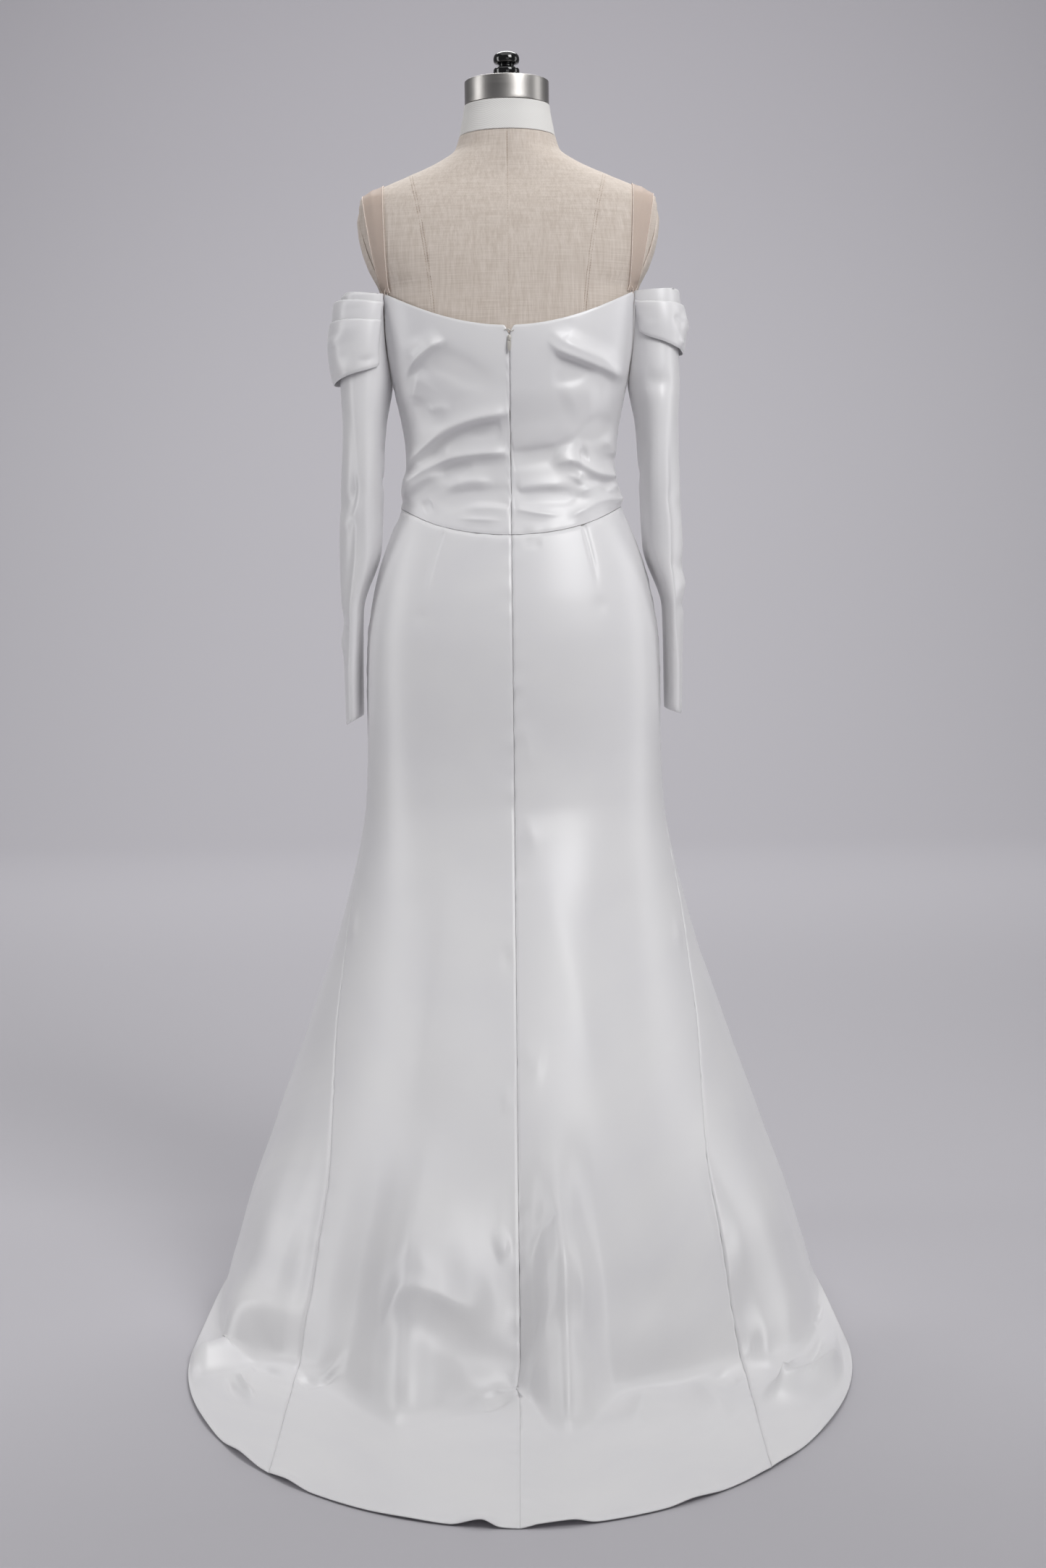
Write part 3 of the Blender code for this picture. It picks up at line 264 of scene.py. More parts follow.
# A ridge's crest is rounded over this share of its width, and at least over this many metres. The last is how fast
# the cloth falls away from it: a pleat in satin has a narrow crest and hollow sides.
CREST_ROUNDING = 0.30
CREST_RADIUS = 0.0011
CREST_FALL = 0.75


@dataclass(frozen=True)
class Crease:
    """A soft ridge along a curve on the cloth, or a trough where its height is negative.

    Its two sides may differ, so that one side of a pleat falls sharply and the other softly.
    """

    points: tuple[tuple[float, float], ...]
    height: float
    left: float
    right: float
    start_fade: float = 0.35
    end_fade: float = 0.35

    def curve(self, scale: "Measure") -> Array:
        """The crease's line in metres on the cloth, rounded through its points."""
        knots = np.array([scale.metres(*point) for point in self.points], float)
        if len(knots) == 2:
            knots = np.array([knots[0], knots.mean(axis=0), knots[1]])
        far = np.concatenate([[2 * knots[0] - knots[1]], knots, [2 * knots[-1] - knots[-2]]])
        line = []
        for start, a, b, end in zip(far, far[1:], far[2:], far[3:]):
            for t in np.linspace(0, 1, 9)[:-1]:
                bend = 2 * start - 5 * a + 4 * b - end
                twist = -start + 3 * a - 3 * b + end
                line.append(a + 0.5 * t * (b - start + t * (bend + t * twist)))
        return np.array(line + [knots[-1]])

    def height_at(self, places: Array, scale: "Measure") -> Array:
        """Height of the crease at each place.

        Args:
            places: Places on the cloth in metres, as the last axis.
            scale: The measure that the crease's own points are given in.

        Returns:
            The height above the plain cloth, in metres.
        """
        line = self.curve(scale)
        reach = 3 * max(self.left, self.right)
        near = np.all((places > line.min(0) - reach) & (places < line.max(0) + reach), axis=-1)
        chosen = places[near]
        height = np.zeros(places.shape[:-1])
        if not len(chosen):
            return height
        start, step = line[:-1], np.diff(line, axis=0)
        length = np.linalg.norm(step, axis=1)
        passed = np.concatenate([[0.0], np.cumsum(length)])
        offset = chosen[:, None, :] - start[None]
        share = np.clip((offset * step).sum(-1) / length**2, 0, 1)
        away = offset - share[..., None] * step
        distance = np.linalg.norm(away, axis=-1)
        best = np.argmin(distance, axis=1)
        rows = np.arange(len(chosen))
        along = (passed[best] + share[rows, best] * length[best]) / passed[-1]
        side = step[best, 0] * away[rows, best, 1] - step[best, 1] * away[rows, best, 0]
        width = np.where(side > 0, self.left, self.right)
        taper = smooth_step(along / max(self.start_fade, 1e-6)) * smooth_step((1 - along) / max(self.end_fade, 1e-6))
        gap = distance[rows, best] / width
        if self.height > 0:
            crest = np.maximum(CREST_ROUNDING, CREST_RADIUS / width)
            fall = np.exp(-(np.sqrt(gap**2 + crest**2) - crest) / CREST_FALL) * smooth_step((2.9 - gap) / 1.4)
        else:
            fall = np.exp(-(gap**2))
        height[near] = self.height * taper * fall
        return height


class Measure:
    """Turns a crease's own points into metres on the cloth: here, places seen from behind, in X and Z."""

    def metres(self, across: float, up: float) -> tuple[float, float]:
        """The place in metres."""
        return across, up


class SkirtMeasure(Measure):
    """Creases of the skirt are given as degrees from the centre back and level."""

    def __init__(self) -> None:
        """Reads how many metres a degree measures at each level."""
        self.levels = np.linspace(HEM_LEVEL, 1.0, 60)
        angle = np.radians(np.linspace(0, 90, 91))
        ring = GARMENT.point(angle[None, :], self.levels[:, None])
        self.per_degree = np.linalg.norm(np.diff(ring, axis=1), axis=-1).sum(axis=1) / 90.0

    def metres(self, across: Array, up: Array) -> tuple[Array, Array]:
        """The place in metres, along the ring and in level."""
        return across * np.interp(up, self.levels, self.per_degree), up


class SleeveMeasure(Measure):
    """Creases of a sleeve are given as degrees of turn and height. A degree is about 0.75 mm there."""

    METRES_PER_DEGREE = 0.00075

    def metres(self, across: Array, up: Array) -> tuple[Array, Array]:
        """The place in metres."""
        return across * self.METRES_PER_DEGREE, up


@dataclass(frozen=True)
class SeamEdge:
    """How the cloth turns in at a seam or a finished edge, and how it puckers beside it."""

    edge: Edge
    depth: float = 0.0007
    width: float = 0.0016
    pucker: float = 0.0
    reach: float = 0.010
    spacing: float = 0.020
    phase: float = 0.0

    def height_at(self, distance: Array, along: Array) -> Array:
        """Height of the turned edge and its puckers.

        Args:
            distance: Metres from the edge.
            along: Metres along it.

        Returns:
            The height above the plain cloth, in metres.
        """
        roll = -self.depth * np.exp(-((distance / self.width) ** 2))
        beat = np.sin(2 * math.pi * along / self.spacing + self.phase)
        beat = beat + 0.7 * np.sin(2 * math.pi * along / (self.spacing * 1.618) + 2.1 * self.phase)
        swell = 0.55 + 0.45 * np.sin(2 * math.pi * along / (self.spacing * 7.3) + 1.3 * self.phase)
        return roll + self.pucker * beat * swell * np.exp(-((distance / self.reach) ** 2))


@dataclass
class ClothSheet:
    """A grid of points on the outer face of a piece of cloth. Its first row is its top edge."""

    points: Array
    wrap: bool = False
    floor: bool = False

    def normals(self) -> Array:
        """Unit normals, turned away from the body or upwards."""
        down = np.gradient(self.points, axis=0)
        if self.wrap:
            across = np.roll(self.points, -1, axis=1) - np.roll(self.points, 1, axis=1)
        else:
            across = np.gradient(self.points, axis=1)
        normal = np.cross(down, across)
        return normal / np.maximum(np.linalg.norm(normal, axis=-1, keepdims=True), 1e-12)

    def measure(self, axis: int) -> Array:
        """Metres along the cloth from its first row (axis 0) or column (axis 1)."""
        length = np.linalg.norm(np.diff(self.points, axis=axis), axis=-1)
        total = np.cumsum(length, axis=axis)
        zero = np.zeros_like(np.take(total, [0], axis=axis))
        return np.concatenate([zero, total], axis=axis)

    def edge_distance(self, edge: Edge) -> Array:
        """Metres from an edge."""
        axis = 0 if edge in (Edge.TOP, Edge.BOTTOM) else 1
        run = self.measure(axis)
        if edge in (Edge.TOP, Edge.LEFT):
            return run
        return np.take(run, [-1], axis=axis) - run

    def raised(self, height: Array) -> None:
        """Moves the points out along the cloth's normals."""
        self.points = self.points + self.normals() * height[..., None]

    def finish_edges(self, edges: list[SeamEdge]) -> None:
        """Turns the cloth in at its seams and finished edges, with their puckers."""
        height = np.zeros(self.points.shape[:2])
        for seam in edges:
            along = self.measure(1 if seam.edge in (Edge.TOP, Edge.BOTTOM) else 0)
            height += seam.height_at(self.edge_distance(seam.edge), along)
        self.raised(height)

    def drawn_in(self, amounts: dict[Edge, float]) -> None:
        """Pulls the stated edges in towards their neighbours, in metres."""
        moved = self.points.copy()
        places = {
            Edge.TOP: (np.s_[0], np.s_[1]),
            Edge.BOTTOM: (np.s_[-1], np.s_[-2]),
            Edge.LEFT: (np.s_[:, 0], np.s_[:, 1]),
            Edge.RIGHT: (np.s_[:, -1], np.s_[:, -2]),
        }
        for edge, amount in amounts.items():
            at, beside = places[edge]
            step = self.points[beside] - self.points[at]
            moved[at] += step / np.maximum(np.linalg.norm(step, axis=-1, keepdims=True), 1e-9) * amount
        self.points = moved

    def border(self) -> list[tuple[Array, Array]]:
        """The loops of border points, each as flat indices of the points and of their inner neighbours."""
        rows, columns = self.points.shape[:2]
        index = np.arange(rows * columns).reshape(rows, columns)
        if self.wrap:
            return [(index[0], index[1]), (index[-1][::-1], index[-2][::-1])]
        loop = [index[0, :-1], index[:-1, -1], index[-1, :0:-1], index[:0:-1, 0]]
        inside = [index[1, :-1], index[:-1, -2], index[-2, :0:-1], index[:0:-1, 1]]
        return [(np.concatenate(loop), np.concatenate(inside))]

    def walled(self, name: str, thickness: float, material: bpy.types.Material) -> bpy.types.Object:
        """Makes the closed wall of the cloth, with rounded edges and its own measure as its UV map.

        Args:
            name: The piece's name.
            thickness: The cloth's thickness.
            material: Its finish.

        Returns:
            The finished object.
        """
        rows, columns = self.points.shape[:2]
        normal = self.normals()
        inner = self.points - normal * thickness
        if self.floor:
            inner[..., 2] = np.maximum(inner[..., 2], 0.0004)
        count = rows * columns
        corners = [self.points.reshape(-1, 3), inner.reshape(-1, 3)]
        index = np.arange(count).reshape(rows, columns)
        beside = np.roll(index, -1, axis=1) if self.wrap else index[:, 1:]
        here = index if self.wrap else index[:, :-1]
        quads = np.stack([here[:-1], beside[:-1], beside[1:], here[1:]], axis=-1).reshape(-1, 4)
        faces = [quads, quads[:, ::-1] + count]
        where = [np.arange(count), np.arange(count)]
        made = 2 * count
        flat, flat_inner = corners
        for loop, inside in self.border():
            out = flat[loop] - flat[inside]
            out = out / np.maximum(np.linalg.norm(out, axis=-1, keepdims=True), 1e-9)
            middle = (flat[loop] + flat_inner[loop]) / 2 + out * thickness * 0.45
            if self.floor:
                middle[:, 2] = np.maximum(middle[:, 2], 0.0004)
            corners.append(middle)
            where.append(loop)
            ring = made + np.arange(len(loop))
            after, ring_after = np.roll(loop, -1), np.roll(ring, -1)
            faces.append(np.stack([ring, ring_after, after, loop], axis=-1))
            faces.append(np.stack([loop + count, after + count, ring_after, ring], axis=-1))
            made += len(loop)
        mesh = bpy.data.meshes.new(name)
        faces = np.concatenate(faces)[:, ::-1]
        mesh.from_pydata(np.concatenate(corners), [], faces.tolist())
        across, down = self.measure(1).reshape(-1), self.measure(0).reshape(-1)
        where = np.concatenate(where)
        vertex = np.zeros(len(mesh.loops), np.int32)
        mesh.loops.foreach_get("vertex_index", vertex)
        uv = np.stack([across, -down], axis=-1)[where[vertex]]
        mesh.uv_layers.new(name="cloth").data.foreach_set("uv", uv.astype(np.float32).ravel())
        mesh.shade_smooth()
        return place_mesh(name, mesh, material)


def place_mesh(name: str, mesh: bpy.types.Mesh, material: bpy.types.Material) -> bpy.types.Object:
    """Links a finished mesh at the origin, with its faces turned outwards.

    Args:
        name: The piece's name.
        mesh: Its mesh, in the frame's own places.
        material: Its finish.

    Returns:
        The new object.
    """
    mesh.materials.append(material)
    mesh.calc_loop_triangles()
    corner = np.zeros(len(mesh.vertices) * 3, np.float32)
    mesh.vertices.foreach_get("co", corner)
    triangle = np.zeros(len(mesh.loop_triangles) * 3, np.int32)
    mesh.loop_triangles.foreach_get("vertices", triangle)
    spot = corner.reshape(-1, 3).astype(float)[triangle.reshape(-1, 3)]
    if np.linalg.det(spot - spot.mean(axis=(0, 1))).sum() < 0:
        mesh.flip_normals()
    made = bpy.data.objects.new(name, mesh)
    bpy.context.scene.collection.objects.link(made)
    return made


def join_meshes(name: str, pieces: list[bpy.types.Object]) -> bpy.types.Object:
    """Joins pieces of one finish into one object, which takes the name."""
    with bpy.context.temp_override(active_object=pieces[0], selected_editable_objects=pieces):
        bpy.ops.object.join()
    pieces[0].name = name
    return pieces[0]


def dress_piece(piece: bpy.types.Object, nodes: list[str], body: Body = Body.DRESS) -> None:
    """Puts a finished piece on its body, in place of the frame's nodes.

    Args:
        piece: The finished piece.
        nodes: The frame's nodes that it stands for.
        body: The body that it rides on.
    """
    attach(piece, body.value)
    if nodes:
        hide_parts(*nodes)
    LOG.info("%s: %d faces", piece.name, len(piece.data.polygons))


def linear(code: str) -> tuple[float, float, float, float]:
    """A linear colour from an sRGB hex value."""
    parts = [int(code[i : i + 2], 16) / 255 for i in (1, 3, 5)]
    return (*(c / 12.92 if c <= 0.04045 else ((c + 0.055) / 1.055) ** 2.4 for c in parts), 1.0)


def add_node(tree: bpy.types.NodeTree, kind: str, settings: dict | None = None, **inputs) -> bpy.types.Node:
    """Adds a node with its settings, values and links.

    Args:
        tree: The node tree.
        kind: The node's type name.
        settings: Its own settings.
        **inputs: For each input, a value, or an output socket that is linked to it. In a name, a double
            underscore stands for a space, and a name of a letter and a number is an input's place.

    Returns:
        The new node.
    """
    node = tree.nodes.new(kind)
    for key, value in (settings or {}).items():
        setattr(node, key, value)
    for key, value in inputs.items():
        spot = node.inputs[int(key[1:])] if key[0] == "i" and key[1:].isdigit() else node.inputs[key.replace("__", " ")]
        if isinstance(value, bpy.types.NodeSocket):
            tree.links.new(value, spot)
        else:
            spot.default_value = value
    return node


def new_material(name: str) -> tuple[bpy.types.Material, bpy.types.NodeTree, bpy.types.Node]:
    """An empty material with one Principled shader, its tree and that shader."""
    material = bpy.data.materials.new(name)
    material.use_nodes = True
    return material, material.node_tree, material.node_tree.nodes["Principled BSDF"]


@dataclass(frozen=True)
class DuchessSatin:
    """Heavy ivory-white satin: a smooth float face with soft broad gloss, and faint slubs across it."""

    light: str = "#EFEEEE"
    shade: str = "#E6E5E8"
    slub_length_mm: float = 14.0
    slub_width_mm: float = 1.1
    roughness: float = 0.36

    def build(self) -> bpy.types.Material:
        """Makes the material. The slubs are drawn about twice as wide as real ones, so that they show."""
        material, tree, shader = new_material("duchess_satin")
        uv = add_node(tree, "ShaderNodeUVMap", {"uv_map": "cloth"}).outputs["UV"]
        across = (1000 / self.slub_length_mm, 1000 / self.slub_width_mm, 1.0)
        slubs = add_node(tree, "ShaderNodeMapping", Vector=uv, Scale=across)
        slub = add_node(tree, "ShaderNodeTexNoise", Vector=slubs.outputs[0], Scale=1.0, Detail=3.0)
        cloud = add_node(tree, "ShaderNodeTexNoise", Vector=uv, Scale=9.0, Detail=2.0)
        tone = add_node(
            tree, "ShaderNodeMix", {"data_type": "RGBA"}, i0=cloud.outputs[0], i6=linear(self.light), i7=linear(self.shade)
        )
        gloss = add_node(
            tree, "ShaderNodeMapRange", Value=slub.outputs[0], i3=self.roughness - 0.04, i4=self.roughness + 0.04
        )
        bump = add_node(tree, "ShaderNodeBump", Strength=0.18, Distance=0.0002, Height=slub.outputs[0])
        tree.links.new(tone.outputs[2], shader.inputs["Base Color"])
        tree.links.new(gloss.outputs[0], shader.inputs["Roughness"])
        tree.links.new(bump.outputs[0], shader.inputs["Normal"])
        shader.inputs["Specular IOR Level"].default_value = 0.65
        shader.inputs["Sheen Weight"].default_value = 0.18
        shader.inputs["Sheen Roughness"].default_value = 0.35
        return material


@dataclass(frozen=True)
class NaturalLinen:
    """Unbleached linen stretched over the form: plain weave with uneven threads both ways, quite dull."""

    light: str = "#DDD2C8"
    shade: str = "#C9BCB0"
    thread_mm: float = 1.1
    slub_mm: float = 4.0

    def build(self) -> bpy.types.Material:
        """Makes the material. A thread is really 0.4 mm wide and is drawn coarser, so that it shows."""
        material, tree, shader = new_material("natural_linen")
        place = add_node(tree, "ShaderNodeTexCoord").outputs["Object"]
        fine, slub = 1000 / self.thread_mm, 1000 / self.slub_mm
        warp_map = add_node(tree, "ShaderNodeMapping", Vector=place, Scale=(fine, fine, fine / 40))
        weft_map = add_node(tree, "ShaderNodeMapping", Vector=place, Scale=(fine / 40, fine / 40, fine))
        warp = add_node(tree, "ShaderNodeTexNoise", Vector=warp_map.outputs[0], Scale=1.0, Detail=2.0)
        weft = add_node(tree, "ShaderNodeTexNoise", Vector=weft_map.outputs[0], Scale=1.0, Detail=2.0)
        slub_map = add_node(tree, "ShaderNodeMapping", Vector=place, Scale=(slub, slub, slub / 14))
        streak = add_node(tree, "ShaderNodeTexNoise", Vector=slub_map.outputs[0], Scale=1.0, Detail=3.0)
        threads = add_node(tree, "ShaderNodeMath", {"operation": "ADD"}, i0=warp.outputs[0], i1=weft.outputs[0])
        both = add_node(tree, "ShaderNodeMath", {"operation": "ADD"}, i0=threads.outputs[0], i1=streak.outputs[0])
        share = add_node(tree, "ShaderNodeMapRange", Value=both.outputs[0], i1=1.15, i2=1.85)
        tone = add_node(
            tree, "ShaderNodeMix", {"data_type": "RGBA"}, i0=share.outputs[0], i6=linear(self.shade), i7=linear(self.light)
        )
        bump = add_node(tree, "ShaderNodeBump", Strength=0.35, Distance=0.0003, Height=threads.outputs[0])
        tree.links.new(tone.outputs[2], shader.inputs["Base Color"])
        tree.links.new(bump.outputs[0], shader.inputs["Normal"])
        shader.inputs["Roughness"].default_value = 0.82
        shader.inputs["Sheen Weight"].default_value = 0.15
        return material


@dataclass(frozen=True)
class CottonTwill:
    """White cotton twill round the neck: fine slanting ribs, matt."""

    colour: str = "#E9E8E6"
    shade: str = "#DDDBD8"
    rib_mm: float = 1.4

    def build(self) -> bpy.types.Material:
        """Makes the material. The ribs are drawn about twice their real width."""
        material, tree, shader = new_material("cotton_twill")
        place = add_node(tree, "ShaderNodeTexCoord").outputs["Object"]
        ribs = add_node(
            tree, "ShaderNodeTexWave", {"bands_direction": "DIAGONAL"}, Vector=place, Scale=300 / self.rib_mm, Distortion=1.2
        )
        tone = add_node(
            tree, "ShaderNodeMix", {"data_type": "RGBA"}, i0=ribs.outputs[1], i6=linear(self.shade), i7=linear(self.colour)
        )
        bump = add_node(tree, "ShaderNodeBump", Strength=0.2, Distance=0.0002, Height=ribs.outputs[1])
        tree.links.new(tone.outputs[2], shader.inputs["Base Color"])
        tree.links.new(bump.outputs[0], shader.inputs["Normal"])
        shader.inputs["Roughness"].default_value = 0.85
        return material


@dataclass(frozen=True)
class NudeNet:
    """Sheer skin-coloured stretch net: mostly see-through, with a faint mesh that reads as a warm veil."""

    colour: str = "#EFE3DA"
    thread: str = "#E2D0C3"
    mesh_mm: float = 1.2
    cover: float = 0.40

    def build(self) -> bpy.types.Material:
        """Makes the material. The holes are really 0.5 mm and are drawn larger."""
        material, tree, shader = new_material("nude_stretch_net")
        uv = add_node(tree, "ShaderNodeUVMap", {"uv_map": "cloth"}).outputs["UV"]
        net = add_node(
            tree, "ShaderNodeTexVoronoi", {"feature": "DISTANCE_TO_EDGE"}, Vector=uv, Scale=1000 / self.mesh_mm
        )
        tone = add_node(
            tree, "ShaderNodeMix", {"data_type": "RGBA"}, i0=net.outputs[0], i6=linear(self.thread), i7=linear(self.colour)
        )
        tree.links.new(tone.outputs[2], shader.inputs["Base Color"])
        shader.inputs["Roughness"].default_value = 0.6
        shader.inputs["Alpha"].default_value = self.cover
        return material


@dataclass(frozen=True)
class BrushedSteel:
    """Turned stainless steel, brushed round its side: streaked, blurred reflections."""

    colour: str = "#B9B6B3"
    roughness: float = 0.30

    def build(self) -> bpy.types.Material:
        """Makes the material. The brush marks are drawn 0.8 mm apart."""
        material, tree, shader = new_material("brushed_stainless_steel")
        place = add_node(tree, "ShaderNodeTexCoord").outputs["Object"]
        turned = add_node(tree, "ShaderNodeMapping", Vector=place, Scale=(12.0, 12.0, 1250.0))
        marks = add_node(tree, "ShaderNodeTexNoise", Vector=turned.outputs[0], Scale=1.0, Detail=2.0)
        gloss = add_node(
            tree, "ShaderNodeMapRange", Value=marks.outputs[0], i3=self.roughness - 0.06, i4=self.roughness + 0.10
        )
        bump = add_node(tree, "ShaderNodeBump", Strength=0.12, Distance=0.0001, Height=marks.outputs[0])
        tree.links.new(gloss.outputs[0], shader.inputs["Roughness"])
        tree.links.new(bump.outputs[0], shader.inputs["Normal"])
        shader.inputs["Base Color"].default_value = linear(self.colour)
        shader.inputs["Metallic"].default_value = 1.0
        shader.inputs["Anisotropic"].default_value = 0.5
        return material


@dataclass(frozen=True)
class Lacquer:
    """Paint or lacquer over wood or steel: an even colour under a clear coat, with faint orange peel."""

    name: str
    colour: str
    roughness: float
    metallic: float = 0.0
    coat: float = 0.0
    peel: float = 0.05

    def build(self) -> bpy.types.Material:
        """Makes the material. The orange peel is drawn 3 mm across."""
        material, tree, shader = new_material(self.name)
        place = add_node(tree, "ShaderNodeTexCoord").outputs["Object"]
        peel = add_node(tree, "ShaderNodeTexNoise", Vector=place, Scale=330.0, Detail=2.0)
        gloss = add_node(
            tree, "ShaderNodeMapRange", Value=peel.outputs[0], i3=self.roughness * 0.85, i4=self.roughness * 1.15
        )
        bump = add_node(tree, "ShaderNodeBump", Strength=self.peel, Distance=0.0003, Height=peel.outputs[0])
        tree.links.new(gloss.outputs[0], shader.inputs["Roughness"])
        tree.links.new(bump.outputs[0], shader.inputs["Normal"])
        shader.inputs["Base Color"].default_value = linear(self.colour)
        shader.inputs["Metallic"].default_value = self.metallic
        shader.inputs["Coat Weight"].default_value = self.coat
        shader.inputs["Coat Roughness"].default_value = 0.04
        return material


@dataclass(frozen=True)
class WovenTape:
    """Narrow polyester zip tape: a tight plain weave with a slight rib along it."""

    colour: str = "#E2E0DD"
    rib_mm: float = 0.8

    def build(self) -> bpy.types.Material:
        """Makes the material. The ribs are drawn 0.8 mm apart."""
        material, tree, shader = new_material("woven_zip_tape")
        place = add_node(tree, "ShaderNodeTexCoord").outputs["Object"]
        ribs = add_node(tree, "ShaderNodeTexWave", {"bands_direction": "X"}, Vector=place, Scale=300 / self.rib_mm)
        bump = add_node(tree, "ShaderNodeBump", Strength=0.3, Distance=0.0002, Height=ribs.outputs[1])
        tone = add_node(
            tree, "ShaderNodeMix", {"data_type": "RGBA"}, i0=ribs.outputs[1], i6=linear("#D6D4D0"), i7=linear(self.colour)
        )
        tree.links.new(tone.outputs[2], shader.inputs["Base Color"])
        tree.links.new(bump.outputs[0], shader.inputs["Normal"])
        shader.inputs["Roughness"].default_value = 0.7
        return material


@dataclass
class Finishes:
    """Every finish of the dress and its form, made once."""

    satin: bpy.types.Material = field(init=False)
    linen: bpy.types.Material = field(init=False)
    twill: bpy.types.Material = field(init=False)
    net: bpy.types.Material = field(init=False)
    steel: bpy.types.Material = field(init=False)
    black: bpy.types.Material = field(init=False)
    enamel: bpy.types.Material = field(init=False)
    paint: bpy.types.Material = field(init=False)
    tape: bpy.types.Material = field(init=False)
    thread: bpy.types.Material = field(init=False)
    cord: bpy.types.Material = field(init=False)

    def __post_init__(self) -> None:
        """Builds the materials."""
        self.satin = DuchessSatin().build()
        self.linen = NaturalLinen().build()
        self.twill = CottonTwill().build()
        self.net = NudeNet().build()
        self.steel = BrushedSteel().build()
        self.black = Lacquer("black_gloss_lacquer", "#0B0B0C", 0.12, coat=0.8).build()
        self.enamel = Lacquer("ivory_zip_enamel", "#C9C5BE", 0.32, metallic=0.15, coat=0.3).build()
        self.paint = Lacquer("black_stand_paint", "#2A2A2B", 0.42, metallic=0.3).build()
        self.tape = WovenTape().build()
        self.thread = Lacquer("sewing_thread", "#A8927F", 0.7, peel=0.3).build()
        self.cord = Lacquer("pale_edge_cord", "#E9DCD2", 0.65, peel=0.3).build()


def waist_seam_z(angle: Array) -> Array:
    """Height of the waist seam, which dips at the centre back and centre front."""
    return WAIST_SEAM_BACK_Z + WAIST_SEAM_RISE * np.abs(np.sin(angle)) ** 1.9


def armhole_z(from_side: Array) -> Array:
    """Height of the armhole's edge, from the underarm at 0 up to the corner at 1."""
    return UNDERARM_Z + (CORNER_Z - UNDERARM_Z) * np.minimum(from_side, 1.0) ** 2.2


def top_edge_z(angle: Array) -> Array:
    """Height of the bodice's top edge: the neckline, with the zip's notch, and the armholes at the sides."""
    degrees = np.abs(np.degrees(angle))
    from_side = np.abs(degrees - 90.0) / (90.0 - CORNER_ANGLE)
    across = np.abs(np.sin(angle)) / math.sin(math.radians(CORNER_ANGLE))
    back = NECKLINE_Z + (CORNER_Z - NECKLINE_Z) * across**1.7
    x = np.abs(GARMENT.point(angle, NECKLINE_Z + 0 * angle)[..., 0])
    back = back - (NECKLINE_Z - NOTCH_Z) * np.clip(1 - x / NOTCH_HALF, 0, 1) ** 1.2
    front = FRONT_NECKLINE_Z + (CORNER_Z - FRONT_NECKLINE_Z) * across**2.0
    neckline = np.where(degrees < 90.0, back, front)
    return np.where(from_side < 1.0, armhole_z(from_side), neckline)


